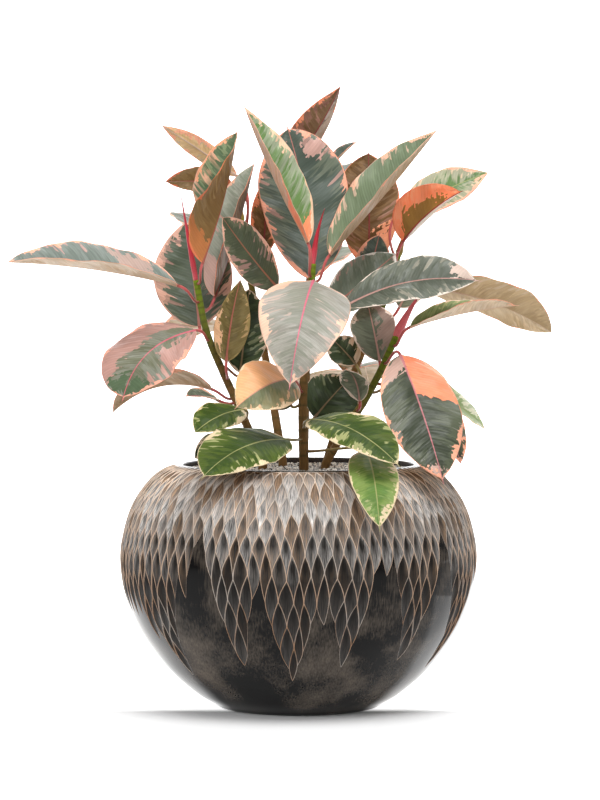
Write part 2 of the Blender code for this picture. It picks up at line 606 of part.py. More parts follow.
def blade_ring(leaf: Leaf, u: float) -> list:
    """A cross section of the blade: the upper side from left to right, then the underside back."""
    place, _, right, normal = blade_frame(leaf, u)
    half = max(leaf.width / 2 * outline(leaf, u), TIP_WIDTH + (STALK_RADIUS - TIP_WIDTH) * (1 - u))
    phase = sum(leaf.base) * 60
    ripple = leaf.wave * math.sin(phase + 2 * math.pi * 2.5 * u)
    upper_side, underside = [], []
    for index in range(leaf.across):
        v = 2 * index / (leaf.across - 1) - 1
        fold = math.radians(leaf.fold[0] if v < 0 else leaf.fold[1])
        lift = math.sin(fold) * abs(v) - leaf.curl * v * v + ripple * v * v * math.copysign(1, v)
        point = place + right * (v * half * math.cos(fold)) + normal * (lift * half)
        outward = normal if v == 0 else normal * math.cos(fold) - right * math.sin(fold) * v
        outward = outward.normalized() * BLADE_THICKNESS / 2
        rib = RIB_DEPTH * (1 - 0.8 * u) if v == 0 else 0.0
        upper_side.append(point + outward)
        underside.append(point - outward - normal * rib)
    return upper_side + underside[::-1]


def stalk_rings(leaf: Leaf, stem: Stem) -> list:
    """Round cross sections from the stem's surface to the base of the blade."""
    curve = stem_curve(stem)
    core = at_height(curve, leaf.node)
    axis = stem_axis(curve, leaf.node)
    base, direction, _, normal = blade_frame(leaf, 0.0)
    outward = base - core
    outward = (outward - axis * outward.dot(axis)).normalized()
    reach = stem_radius(stem, leaf.node) * (1 + STEM_SWELLING) + CLEARANCE
    start = core + outward * reach
    length = (base - start).length
    first, second = start + outward * length * 0.35, base - direction * length * 0.45
    count = 2 * leaf.across
    step = 2 * math.pi / count
    rings = []
    for band in range(STALK_BANDS):
        t = band / STALK_BANDS
        s = 1 - t
        centre = start * s ** 3 + first * 3 * s * s * t + second * 3 * s * t * t + base * t ** 3
        along = (first - start) * s * s + (second - first) * 2 * s * t + (base - second) * t * t
        along.normalize()
        up = (normal - along * normal.dot(along)).normalized()
        across = along.cross(up)
        angles = [math.pi - step / 2 - step * index for index in range(count)]
        rings.append([centre + (across * math.cos(a) + up * math.sin(a)) * STALK_RADIUS
                      for a in angles])
    return rings


def add_leaf(leaf: Leaf, stem: Stem, material, parent):
    """A leaf: its stalk runs on into the blade as one closed body."""
    rings = stalk_rings(leaf, stem)
    rings += [blade_ring(leaf, u) for u in BLADE_STATIONS]
    count = len(rings[0])
    points = [point for ring in rings for point in ring]
    faces = []
    half = count // 2
    for band in range(len(rings) - 1):
        low, high = band * count, (band + 1) * count
        for i in range(count):
            j = (i + 1) % count
            if i < half:
                faces += [(low + i, low + j, high + j), (low + i, high + j, high + i)]
            else:
                faces += [(low + i, low + j, high + i), (low + j, high + j, high + i)]
    last = len(points) - count
    for start in (0, last):
        for i in range(half - 1):
            near, far = start + i, start + count - 1 - i
            faces.append((near, near + 1, far - 1))
            faces.append((near, far - 1, far))
    return add_piece(leaf.name, points, faces, material, parent)


def clear_scene():
    """Removes what a new file starts with."""
    for item in list(bpy.data.objects):
        bpy.data.objects.remove(item)


def main():
    """Builds the pot, its filling and the plant."""
    clear_scene()
    plant = bpy.data.objects.new("potted_rubber_plant", None)
    bpy.context.scene.collection.objects.link(plant)

    bronze = add_material("bronze lacquer", (0.045, 0.036, 0.030), 0.35, 0.3)
    earth = add_material("potting soil", (0.030, 0.020, 0.014), 0.95)
    grit = add_material("granite grit", (0.480, 0.470, 0.450), 0.80)
    bark = add_material("green bark", (0.110, 0.130, 0.050), 0.60)
    sheath_red = add_material("red sheath", (0.420, 0.020, 0.020), 0.40)
    leaf_green = add_material("variegated leaf", (0.130, 0.200, 0.120), 0.40)

    holes = stem_holes()
    add_pot(bronze, plant)
    add_soil(holes, earth, plant)
    add_gravel(holes, grit, plant)
    stems = {stem.name: stem for stem in STEMS}
    for stem in STEMS:
        add_stem(stem, bark, plant)
    for name, stem_name, tip, radius in SHEATHS:
        add_sheath(name, stems[stem_name], tip, radius, sheath_red, plant)
    for leaf in LEAVES:
        add_leaf(leaf, stems[leaf.stem], leaf_green, plant)


if __name__ == "__main__":
    main()
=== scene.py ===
"""Potted rubber plant: the looks of a variegated rubber plant in a carved globe pot.

Each piece repeats the formulas of the solid part at a finer step and stands where its node stands.
Metres, +Z up, and the front looks to -Y. The marks that the materials read off the meshes are in
millimetres, or shares from 0 to 1.
"""

import logging
import math
import random
from collections.abc import Callable
from dataclasses import dataclass, field, replace
from enum import Enum
from functools import partial
from itertools import combinations

import bmesh
import bpy
import numpy as np
from mathutils import Matrix, Vector

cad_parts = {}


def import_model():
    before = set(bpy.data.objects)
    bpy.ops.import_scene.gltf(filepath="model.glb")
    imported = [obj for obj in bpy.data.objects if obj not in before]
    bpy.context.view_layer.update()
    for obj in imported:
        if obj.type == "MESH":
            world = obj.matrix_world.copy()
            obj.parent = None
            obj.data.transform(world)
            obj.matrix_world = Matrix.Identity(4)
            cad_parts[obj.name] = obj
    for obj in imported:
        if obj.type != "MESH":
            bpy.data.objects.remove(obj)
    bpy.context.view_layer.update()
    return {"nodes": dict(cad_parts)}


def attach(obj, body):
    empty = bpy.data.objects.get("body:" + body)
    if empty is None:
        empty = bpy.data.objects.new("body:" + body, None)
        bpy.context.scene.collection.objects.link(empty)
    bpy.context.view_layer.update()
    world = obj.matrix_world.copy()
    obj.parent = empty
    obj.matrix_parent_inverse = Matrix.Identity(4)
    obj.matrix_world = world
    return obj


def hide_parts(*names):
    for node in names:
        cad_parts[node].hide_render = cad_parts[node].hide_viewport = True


LOG = logging.getLogger("potted_plant")
MM = 0.001
# The mark of a point where a leaf has no patch, in millimetres from it
NO_PATCH = -20.0
Point = tuple[float, float, float]
Socket = bpy.types.NodeSocket
Adder = Callable[..., Socket]
Paint = dict[str, Socket | str]


def linear(hex_colour: str) -> tuple[float, float, float, float]:
    """Turns an sRGB colour into a linear one.

    Args:
        hex_colour: The colour as "#RRGGBB".

    Returns:
        Linear red, green and blue, and an alpha of 1.
    """
    shares = [int(hex_colour[i:i + 2], 16) / 255 for i in (1, 3, 5)]
    red, green, blue = (c / 12.92 if c <= 0.04045 else ((c + 0.055) / 1.055) ** 2.4
                        for c in shares)
    return red, green, blue, 1.0


def feed(node: bpy.types.Node, inputs: list | dict) -> None:
    """Links a node's inputs or sets their values.

    Args:
        node: The node.
        inputs: A socket, value or hex colour for each input, in order or by name or index.
    """
    for key, value in inputs.items() if isinstance(inputs, dict) else enumerate(inputs):
        if isinstance(value, Socket):
            node.id_data.links.new(value, node.inputs[key])
        else:
            node.inputs[key].default_value = linear(value) if isinstance(value, str) else value


def add_node(tree: bpy.types.NodeTree, kind: str, inputs: list | dict,
             output: int | str = 0, **settings: object) -> Socket:
    """Adds one node with its settings and links.

    Args:
        tree: The node tree that it goes into.
        kind: The shader node's type without the words ShaderNode, then a space and its
            operation if it has one.
        inputs: What its inputs take, as in feed.
        output: The output that is wanted.
        **settings: The node's own properties.

    Returns:
        The wanted output socket.
    """
    kind, _, operation = kind.partition(" ")
    node = tree.nodes.new("ShaderNode" + kind)
    if operation:
        settings["operation"] = operation
    for name, value in settings.items():
        setattr(node, name, value)
    feed(node, inputs)
    return node.outputs[output]


def lay_tone(node: Adder, under: Socket | str, tone: Socket | str, value: Socket,
             *span: float) -> Socket:
    """Lays a tone over another.

    Args:
        node: Adds a node to the material.
        under: The tone below.
        tone: The tone above.
        value: The share of it that shows, or what that share grows with.
        *span: Where the growth starts and ends, and the shares there.

    Returns:
        The colour.
    """
    share = node("MapRange", [value, *span]) if span else value
    return node("Mix", {0: share, 6: under, 7: tone}, 2, data_type="RGBA")


def stretched_noise(node: Adder, place: Socket, fineness: Point, detail: float) -> Socket:
    """Adds a noise that is finer along some axes than along others.

    Args:
        node: Adds a node to the material.
        place: Where it is read.
        fineness: Lumps to a unit along X, Y and Z.
        detail: Layers of finer noise in it.

    Returns:
        The noise, from 0 to 1.
    """
    lumps = node("VectorMath MULTIPLY", [place, fineness])
    return node("TexNoise", {"Vector": lumps, "Scale": 1.0, "Detail": detail})


@dataclass(frozen=True)
class Finish:
    """What every finish has: a name, its gloss, and how it becomes a material."""

    name: str
    roughness: float = 0.5
    ior: float = 1.5
    specular: float = 0.5

    def material(self) -> bpy.types.Material:
        """Builds the material the first time, and finds it again after that.

        Returns:
            The material.
        """
        made = bpy.data.materials.get(self.name)
        if made is None:
            made = bpy.data.materials.new(self.name)
            made.use_nodes = True
            shader = made.node_tree.nodes["Principled BSDF"]
            feed(shader, {"Roughness": self.roughness, "IOR": self.ior,
                          "Specular IOR Level": self.specular})
            feed(shader, self.paint(partial(add_node, made.node_tree)))
        return made

    def paint(self, node: Adder) -> Paint:
        """Adds the finish's own nodes, and says what the shader's inputs take."""
        raise NotImplementedError


@dataclass(frozen=True)
class LeafSkin(Finish):
    """Living rubber-plant leaf, grown with a waxy cuticle.

    The wax gives a satin gloss. The tones meet in jagged steps along the side veins, because each
    tone is a layer of cells that ends at a vein.
    """

    roughness: float = 0.36
    ior: float = 1.45
    specular: float = 0.38
    ground: str = "#7A826E"
    dark: str = "#5C6654"
    flush: str = "#B9938A"
    margin: str = "#E9B296"
    rib: str = "#C8737A"
    first: str = "#C49C90"
    second: str = "#E8B896"
    dark_share: float = 0.42
    flush_share: float = 0.10
    vein_tint: float = 0.10
    vein_depth: float = 0.35
    # Millimetres between side veins, and from a patch to the farthest of its teeth
    vein_spacing: float = 3.6
    tooth_reach: float = 11.0

    def paint(self, node: Adder) -> Paint:
        """Adds tones, flecks, patches, jagged margin, midrib and side veins.

        Args:
            node: Adds a node to the material.

        Returns:
            What the shader's inputs take.
        """
        veins = node("Attribute", [], "Vector", attribute_name="veins")
        inward, rim, beside_rib, *patches = (
            node("Attribute", [], "Fac", attribute_name=mark)
            for mark in ("inward", "rim", "beside_rib", "first_patch", "second_patch"))
        along, across = (node("SeparateXYZ", [veins], axis) for axis in "XY")
        reach = node("Math ABSOLUTE", [across])

        # The tones' edges wander, and run along the side veins: steps 3 mm by about 15 mm
        wander = node("TexNoise", {"Vector": veins, "Scale": 0.45, "Detail": 2.0}, "Color")
        bent = node("VectorMath MULTIPLY_ADD", [wander, (2.6, 0.5, 0.0), veins])
        narrow = node("VectorMath MULTIPLY", [bent, (0.30, 2.2, 1.7)])
        cells = node("TexVoronoi", {"Vector": narrow, "Scale": 1.0}, "Color")
        step, lot, fleck = (node("SeparateColor", [cells], name)
                            for name in ("Red", "Green", "Blue"))
        cloud = stretched_noise(node, bent, (0.06, 1.1, 1.3), 3.0)

        # The dark tone keeps to the middle
        middle = node("Math MULTIPLY_ADD", [reach, -0.42, cloud])
        middle = node("Math MULTIPLY_ADD", [lot, 0.30, middle])
        dark_from = 0.87 - self.dark_share
        colour = lay_tone(node, self.ground, self.dark, middle,
                          dark_from - 0.10, dark_from + 0.10, 0.0, 1.0)
        # Flecks of the pale tone come from the margin, in groups about 22 mm apart
        group = stretched_noise(node, veins, (0.045, 0.9, 1.0), 2.0)
        outer = node("Math MULTIPLY_ADD", [reach, 0.55, fleck])
        outer = node("Math MULTIPLY_ADD", [group, 1.2, outer])
        flush_from = 1.97 - self.flush_share
        colour = lay_tone(node, colour, self.flush, outer, flush_from, flush_from + 0.03, 0.0, 0.9)

        # Patches end in teeth several millimetres long
        teeth = stretched_noise(node, veins, (0.09, 7.0, 1.3), 1.0)
        spread = node("Math MULTIPLY_ADD", [step, 6.0, -27.0])
        spread = node("Math MULTIPLY_ADD", [group, 30.0, spread])
        spread = node("Math MULTIPLY_ADD", [teeth, 18.0, spread])
        for patch, tone in zip(patches, (self.first, self.second)):
            edge = node("Math ADD", [spread, patch])
            share = node("MapRange", [edge, -0.25, 0.25, 0.0, 1.0])
            near = node("Math GREATER_THAN", [patch, -self.tooth_reach])
            share = node("Math MULTIPLY", [share, near])
            colour = lay_tone(node, colour, tone, share)

        # The pale margin swells into lobes
        lobe = node("MapRange", [group, 0.47, 0.66, 0.0, 1.0])
        width = node("Math MULTIPLY_ADD", [step, 4.6, 0.7])
        width = node("Math MULTIPLY_ADD", [width, lobe, 0.45])
        width = node("Math MULTIPLY", [width, rim])
        past = node("Math SUBTRACT", [inward, width])
        colour = lay_tone(node, colour, self.margin, past, 0.2, -0.2, 0.0, 1.0)

        # Side veins, a fine mottle and the midrib
        turns = node("Math MULTIPLY", [along, 2 * math.pi / self.vein_spacing])
        wave = node("Math COSINE", [turns])
        line = node("MapRange", [wave, 0.4, 1.0, 0.0, 1.0])
        tint = node("MapRange", [line, 0.0, 1.0, 1.0, 1.0 + self.vein_tint])
        grain = node("TexNoise", {"Vector": veins, "Scale": 1.4, "Detail": 2.0})
        mottle = node("Math MULTIPLY_ADD", [grain, 0.35, cloud])
        shade = node("MapRange", [mottle, 0.42, 0.92, 0.84, 1.16])
        tint = node("Math MULTIPLY", [tint, shade])
        colour = node("VectorMath SCALE", {0: colour, "Scale": tint})
        colour = lay_tone(node, colour, self.rib, beside_rib, 1.25, 0.85, 0.0, 0.9)

        # Shallow dents break up the gloss of the blade
        height = node("Math MULTIPLY_ADD", [grain, 0.3, line])
        height = node("Math MULTIPLY_ADD", [group, 60.0, height])
        bump = node("Bump", {"Strength": self.vein_depth, "Distance": 0.0003, "Height": height})
        gloss = node("MapRange", [cloud, 0.3, 0.7, self.roughness - 0.05, self.roughness + 0.07])
        return {"Base Color": colour, "Normal": bump, "Roughness": gloss}


@dataclass(frozen=True)
class StalkSkin(Finish):
    """Leaf stalk, smooth and waxy, which blushes red where the sun reaches it."""

    roughness: float = 0.38
    ior: float = 1.45
    near_stem: str = "#8A4A3A"
    near_blade: str = "#C05A58"

    def paint(self, node: Adder) -> Paint:
        """Adds the change of red along the stalk, and its fine grain.

        Args:
            node: Adds a node to the material.

        Returns:
            What the shader's inputs take.
        """
        along = node("Attribute", [], "Fac", attribute_name="along")
        place = node("TexCoord", [], "Object")
        noise = node("TexNoise", {"Vector": place, "Scale": 260.0, "Detail": 2.0})
        share = node("Math MULTIPLY_ADD", [noise, 0.5, along])
        colour = lay_tone(node, self.near_stem, self.near_blade, share, 0.2, 1.1, 0.0, 1.0)
        bump = node("Bump", {"Strength": 0.2, "Distance": 0.0003, "Height": noise})
        return {"Base Color": colour, "Normal": bump}


@dataclass(frozen=True)
class StemBark(Finish):
    """Young rubber-plant bark, green at the growing end and brown with cork lower down."""

    roughness: float = 0.7
    specular: float = 0.2
    young: str = "#70851C"
    middle: str = "#5A5F20"
    old: str = "#795C34"
    scar: str = "#4A4622"

    def paint(self, node: Adder) -> Paint:
        """Adds the change of age, the old leaf scars and the pores.

        Args:
            node: Adds a node to the material.

        Returns:
            What the shader's inputs take.
        """
        age, scar = (node("Attribute", [], "Fac", attribute_name=mark)
                     for mark in ("age", "scar"))
        place = node("TexCoord", [], "Object")
        noise = stretched_noise(node, place, (900.0, 900.0, 140.0), 3.0)
        lot = node("Math MULTIPLY_ADD", [noise, 0.5, age])
        colour = lay_tone(node, self.young, self.middle, lot, 0.35, 0.65, 0.0, 1.0)
        colour = lay_tone(node, colour, self.old, lot, 0.75, 1.15, 0.0, 1.0)
        colour = lay_tone(node, colour, self.scar, scar, 0.0, 1.0, 0.0, 0.7)
        shade = node("MapRange", [noise, 0.2, 0.8, 0.8, 1.2])
        colour = node("VectorMath SCALE", {0: colour, "Scale": shade})
        bump = node("Bump", {"Strength": 0.4, "Distance": 0.0004, "Height": noise})
        return {"Base Color": colour, "Normal": bump}


@dataclass(frozen=True)
class SheathSkin(Finish):
    """Leaf sheath that wraps the growing tip, thin, moist and glossy."""

    roughness: float = 0.3
    ior: float = 1.45
    foot: str = "#C8505A"
    body: str = "#BE2F3E"
    tip: str = "#8E2230"

    def paint(self, node: Adder) -> Paint:
        """Adds the change of red from foot to tip, and fine lengthwise lines.

        Args:
            node: Adds a node to the material.

        Returns:
            What the shader's inputs take.
        """
        along = node("Attribute", [], "Fac", attribute_name="along")
        colour = lay_tone(node, self.foot, self.body, along, 0.0, 0.35, 0.0, 1.0)
        colour = lay_tone(node, colour, self.tip, along, 0.6, 1.0, 0.0, 1.0)
        place = node("TexCoord", [], "Object")
        noise = stretched_noise(node, place, (1400.0, 1400.0, 60.0), 2.0)
        shade = node("MapRange", [noise, 0.2, 0.8, 0.82, 1.18])
        colour = node("VectorMath SCALE", {0: colour, "Scale": shade})
        bump = node("Bump", {"Strength": 0.25, "Distance": 0.0003, "Height": noise})
        return {"Base Color": colour, "Normal": bump}


@dataclass(frozen=True)
class AntiquedLacquer(Finish):
    """Dark bronze lacquer on a cast pot, rubbed back with a pale wash over the carving.

    The lacquer is polished and clouded, so it mirrors the studio softly. The wash dries in the
    gouges and is wiped off the ridges, which show the copper primer. The deep upper end of each
    gouge, and a line next to each ridge, are painted shade.
    """

    roughness: float = 0.03
    ior: float = 1.45
    specular: float = 0.22
    deep: str = "#050404"
    cloud: str = "#61574D"
    silver: str = "#E3DED9"
    brown: str = "#A5876C"
    # Painted shadow for the deep upper end of each gouge. The same dark shows in the lower gouges, where
    # the wash thins
    shadow: str = "#15110E"
    copper: str = "#F6DEC8"
    old_copper: str = "#A57F62"
    bare: str = "#B5ADA5"
    carved_roughness: float = 0.30

    def paint(self, node: Adder) -> Paint:
        """Adds the clouded lacquer, the wash in the gouges, painted shade in the gouges and next to the
        ridges, and the bare ridges.

        Args:
            node: Adds a node to the material.

        Returns:
            What the shader's inputs take.
        """
        ridge, gouge, carved, scale, down = (
            node("Attribute", [], "Fac", attribute_name=mark)
            for mark in ("ridge", "gouge", "carved", "scale", "down"))
        place = node("TexCoord", [], "Object")

        # Clouds about 50 mm across, and brush marks 1 mm wide at a slant
        clouds = node("TexNoise", {"Vector": place, "Scale": 15.0, "Detail": 5.0, "Roughness": 0.55})
        slant = node("Mapping", {"Vector": place, "Rotation": (0.0, 0.7, 0.2),
                                 "Scale": (700.0, 400.0, 60.0)})
        brushed = node("TexNoise", {"Vector": slant, "Scale": 1.0, "Detail": 3.0})
        lot = node("Math MULTIPLY_ADD", [brushed, 0.34, clouds])
        lacquer = lay_tone(node, self.deep, self.cloud, lot, 0.62, 0.92, 0.0, 1.0)

        # Hairs of the wash are finer than this on a real pot, and would drown in the picture
        x, y = (node("SeparateXYZ", [place], axis) for axis in "XY")
        front = node("Math MULTIPLY", [y, -1.0])
        around = node("Math ARCTAN2", [x, front])
        around = node("Math MULTIPLY", [around, 215.0])
        along = node("Math MULTIPLY", [down, 0.055])
        hairs = node("CombineXYZ", [around, along])
        streak = node("TexNoise", {"Vector": hairs, "Scale": 1.0, "Detail": 3.0, "Roughness": 0.6})
        tone = node("Math MULTIPLY_ADD", [scale, 0.4, streak])
        browner = node("MapRange", [down, 10.0, 60.0, 0.16, 0.0])
        tone = node("Math ADD", [tone, browner])
        wash = lay_tone(node, self.silver, self.brown, tone, 0.60, 0.92, 0.0, 1.0)

        # The wash lies thick at the mouth and thins lower down. In each gouge it lies on the shallower
        # lower end, while the deep upper end shows painted shadow, less of it near the mouth
        uneven = node("Math MULTIPLY_ADD", [clouds, 80.0, down])
        thick = node("MapRange", [uneven, 118.0, 184.0, 1.0, 0.08])
        out_of_painted_shadow = node("MapRange", [gouge, 0.12, 0.76, 1.0, 0.0])
        painted_shadow_lift = node("MapRange", [down, 34.0, 104.0, 0.70, 0.04])
        out_of_painted_shadow = node("MapRange", {"Value": out_of_painted_shadow, 3: painted_shadow_lift, 4: 1.0})
        tuft = node("MapRange", [streak, 0.34, 0.62, 0.35, 1.20])
        cover = node("Math MULTIPLY", [thick, tuft])
        cover = node("Math MULTIPLY", [cover, out_of_painted_shadow])
        inside = lay_tone(node, self.shadow, wash, cover)

        # A dark line of painted shade runs next to each ridge, and the mouth is dimmer
        shade = node("MapRange", [streak, 0.36, 0.66, 0.60, 1.46])
        ridge_shade = node("MapRange", [ridge, 0.55, 1.50, 0.54, 1.0])
        shade = node("Math MULTIPLY", [shade, ridge_shade])
        dimmer = node("MapRange", [down, 15.0, 60.0, 0.84, 1.0])
        shade = node("Math MULTIPLY", [shade, dimmer])
        inside = node("VectorMath SCALE", {0: inside, "Scale": shade})
        colour = lay_tone(node, lacquer, inside, carved)

        metal = lay_tone(node, self.copper, self.old_copper, down, 30.0, 190.0, 0.0, 1.0)
        metal = lay_tone(node, metal, self.bare, clouds, 0.46, 0.58, 0.0, 0.8)
        worn = node("MapRange", [streak, 0.30, 0.55, 0.55, 1.0])
        line = node("MapRange", [ridge, 0.62, 0.18, 0.0, 1.0])
        line = node("Math MULTIPLY", [line, worn])
        colour = lay_tone(node, colour, metal, line)

        rough = node("MapRange", [carved, 0.0, 1.0, self.roughness, self.carved_roughness])
        rough = node("Math MULTIPLY_ADD", [clouds, 0.06, rough])
        height = node("Math MULTIPLY", [streak, carved])
        height = node("Math MULTIPLY_ADD", [brushed, 0.10, height])
        bump = node("Bump", {"Strength": 0.4, "Distance": 0.0007, "Height": height})
        return {"Base Color": colour, "Roughness": rough, "Normal": bump}


@dataclass(frozen=True)
class Mineral(Finish):
    """Grit, soil or unglazed casting: a matt mineral with grains of two colours."""

    roughness: float = 0.85
    light: str = "#C9C5BC"
    dark: str = "#8A867E"
    grain: float = 900.0

    def paint(self, node: Adder) -> Paint:
        """Adds the grains and their relief.

        Args:
            node: Adds a node to the material.

        Returns:
            What the shader's inputs take.
        """
        place = node("TexCoord", [], "Object")
        noise = node("TexNoise", {"Vector": place, "Scale": self.grain, "Detail": 3.0})
        colour = lay_tone(node, self.dark, self.light, noise, 0.35, 0.65, 0.0, 1.0)
        bump = node("Bump", {"Strength": 0.5, "Distance": 0.0006, "Height": noise})
        return {"Base Color": colour, "Normal": bump}


@dataclass(frozen=True)
class LitAcrylic(Finish):
    """Sheet of white acrylic, sanded matt, with a lamp box under it behind the pot.

    The lit part gives the lacquer something bright to mirror along its sides.
    """

    roughness: float = 0.6
    ior: float = 1.49
    white: str = "#F4F4F4"
    light: str = "#FFFFFF"
    glow: float = 1.2
    # The lamp box, in metres: its front edge and half its width
    box_front: float = -0.04
    box_half: float = 0.52
    # Where the light spreads over the whole width behind the box
    spread_from: float = 0.9
    spread_to: float = 1.3

    def paint(self, node: Adder) -> Paint:
        """Adds the glow over the lamp box.

        Args:
            node: Adds a node to the material.

        Returns:
            What the shader's inputs take.
        """
        place = node("TexCoord", [], "Object")
        x, y = (node("SeparateXYZ", [place], axis) for axis in "XY")
        behind = node("MapRange", [y, self.box_front - 0.02, self.box_front + 0.01, 0.0, 1.0])
        aside = node("Math ABSOLUTE", [x])
        within = node("MapRange", [aside, self.box_half + 0.01, self.box_half - 0.01, 0.0, 1.0])
        far = node("MapRange", [y, self.spread_from, self.spread_to, 0.0, 1.0])
        within = node("Math MAXIMUM", [within, far])
        lit = node("Math MULTIPLY", [behind, within])
        glow = node("Math MULTIPLY", [lit, self.glow])
        return {"Base Color": self.white, "Emission Color": self.light,
                "Emission Strength": glow}


POT_LACQUER = AntiquedLacquer("antiqued_bronze_lacquer")
POT_INSIDE = Mineral("unglazed_dark_casting", light="#3A3430", dark="#1E1A18", grain=500.0)
POTTING_SOIL = Mineral("peat_potting_soil", light="#4A3628", dark="#1F150F", roughness=0.95)
WHITE_GRIT = Mineral("white_granite_grit", light="#FBF8F2", dark="#DAD5CA")
BLUE_GRIT = Mineral("grey_granite_grit", light="#AEB2B4", dark="#6F7476")
BLACK_GRIT = Mineral("dark_granite_grit", light="#4B4540", dark="#1F1B18")
GREEN_BARK = StemBark("green_bark")
RED_SHEATH = SheathSkin("red_leaf_sheath")
ROSE_SHEATH = SheathSkin("rose_leaf_sheath", foot="#D46C6E", body="#D05C62", tip="#C04C54")
YOUNG_TIP = SheathSkin("young_leaf_tip", foot="#76862E", body="#A0763C", tip="#B4424A")
RED_STALK = StalkSkin("red_leaf_stalk")
BROWN_STALK = StalkSkin("brown_leaf_stalk", near_stem="#6E5436", near_blade="#A2664C")
GREEN_STALK = StalkSkin("green_leaf_stalk", near_stem="#75552F", near_blade="#97884E")

# Upper sides
SAGE = LeafSkin("sage_leaf")
PINE = LeafSkin("pine_green_leaf", ground="#68705F", dark="#49544A", flush="#A9857A",
                margin="#E9A083", rib="#B97468", dark_share=0.55)
FRESH = LeafSkin("fresh_green_leaf", roughness=0.42, specular=0.22, ground="#4C5E20",
                 dark="#324714", flush="#A0A26C", margin="#DCC8A2", rib="#9FA066",
                 first="#D6D8AE", second="#E4C6A0", flush_share=0.16)
SPEAR = LeafSkin("pale_green_leaf", ground="#9AA387", dark="#66834C", flush="#A9B592",
                 margin="#EAC3A2", rib="#C9A98C", first="#F08A60", second="#D9D6AE")
ROSE = LeafSkin("rose_leaf", ground="#7F8172", dark="#656853", flush="#B98C80",
                margin="#EBA58C", rib="#C8586A", first="#AD857A", second="#4F6146",
                flush_share=0.2)
PEACH = LeafSkin("peach_leaf", ground="#8A8560", dark="#6B7050", flush="#D8AC82",
                 margin="#EFCFA8", rib="#D08A72", first="#EDAF7C")
GREY = LeafSkin("grey_green_leaf", ground="#828873", dark="#646B58", flush="#B79E8E",
                margin="#EAD6C6", rib="#B98A80")
# Painted shade: a darker copy of the leaf tones, for leaves that sit in the shade of others
SHADE = LeafSkin("shaded_leaf", specular=0.2, ground="#3C4A30", dark="#28341F", flush="#6F7658",
                 margin="#C9B49C", rib="#7E6A50")
CORAL = LeafSkin("coral_leaf", ground="#535944", dark="#3A4031", flush="#77776A",
                 margin="#F0A98A", rib="#C4777C", first="#F0885F", second="#BC9A8C",
                 flush_share=0.05)

# Undersides: the same leaf without wax, so matt, with a raised midrib
TAN_BACK = LeafSkin("tan_underside", roughness=0.52, specular=0.28, ground="#B09B7E",
                    dark="#9C8666", flush="#BCA992", margin="#E8A687", rib="#C0A58C",
                    vein_depth=0.5, vein_tint=-0.07, flush_share=0.15)
BEIGE_BACK = replace(TAN_BACK, name="beige_underside", ground="#BDA488", dark="#AE9272",
                     flush="#C9B296", rib="#C9A48C")
OLIVE_BACK = replace(TAN_BACK, name="olive_underside", ground="#94764A", dark="#80633A",
                     flush="#A28356", margin="#E98258", rib="#A0584A", first="#C07A48")
UMBER_BACK = replace(TAN_BACK, name="umber_underside", ground="#785936", dark="#5E4325",
                     flush="#8E6650", margin="#E58A66", rib="#7E3532", first="#EFA27C",
                     second="#A98E78")
# Painted light: the ground is lighter than the leaf's own orange, standing in for light shining through
# the thin leaf
CORAL_BACK = replace(TAN_BACK, name="coral_underside_with_painted_light", ground="#FF9468", dark="#FB875A",
                     flush="#FFA076", margin="#F5805A", rib="#8E2A2C", first="#93692F",
                     second="#B9A48F", vein_tint=-0.04)


class Side(Enum):
    """A half of a leaf, looking at its upper side with the tip up."""

    LEFT = -1
    RIGHT = 1
    BOTH = 0


@dataclass(frozen=True)
class Patch:
    """A stretch of leaf in another tone.

    Attributes:
        tone: 1 for the skin's first patch tone, 2 for its second.
        side: The half that it lies on.
        start: Where it begins, as a share of the midrib.
        end: Where it ends.
        inner: How near to the midrib it comes, as a share of the half width.
        outer: How far out it goes.
        below: True if it lies on the underside.
    """

    tone: int
    side: Side
    start: float
    end: float
    inner: float = -0.2
    outer: float = 1.2
    below: bool = False


@dataclass(frozen=True)
class StemShape:
    """A stem's centre line from the soil up, and its radii."""

    name: str
    route: tuple[Point, ...]
    foot_radius: float
    top_radius: float


@dataclass(frozen=True)
class Leaf:
    """A leaf with its stalk, with the solid part's values and its own colouring.

    Attributes:
        name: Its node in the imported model.
        stem: The stem that carries it.
        node: The height on the stem where the stalk leaves it.
        base: Where the stalk meets the blade.
        tip: Where the blade ends.
        width: The blade's greatest width.
        faces: The way that the upper side looks.
        bow: How far the midrib bends toward the upper side, as a share of the length.
        sway: How far it bends to the right.
        fold: Lift of the left and right halves, in degrees.
        curl: How far the edges turn down, as a share of the half width.
        wave: How far they ripple.
        twist: Turn of the blade from base to tip, in degrees.
        belly: Where the blade is widest, as a share of its length.
        point: How much it narrows toward the tip.
        upper: The upper side's finish.
        under: The underside's finish.
        stalk: The stalk's finish.
        rims: Mean width of the pale margin on the left and on the right, in millimetres.
        patches: Stretches in another tone.
    """

    name: str
    stem: str
    node: float
    base: Point
    tip: Point
    width: float
    faces: Point
    bow: float = 0.06
    sway: float = 0.0
    fold: tuple[float, float] = (14, 14)
    curl: float = 0.12
    wave: float = 0.03
    twist: float = 0.0
    belly: float = 0.47
    point: float = 0.8
    upper: LeafSkin = SAGE
    under: LeafSkin = TAN_BACK
    stalk: StalkSkin = RED_STALK
    rims: tuple[float, float] = (2.0, 2.0)
    patches: tuple[Patch, ...] = ()


L, R, B = Side.LEFT, Side.RIGHT, Side.BOTH

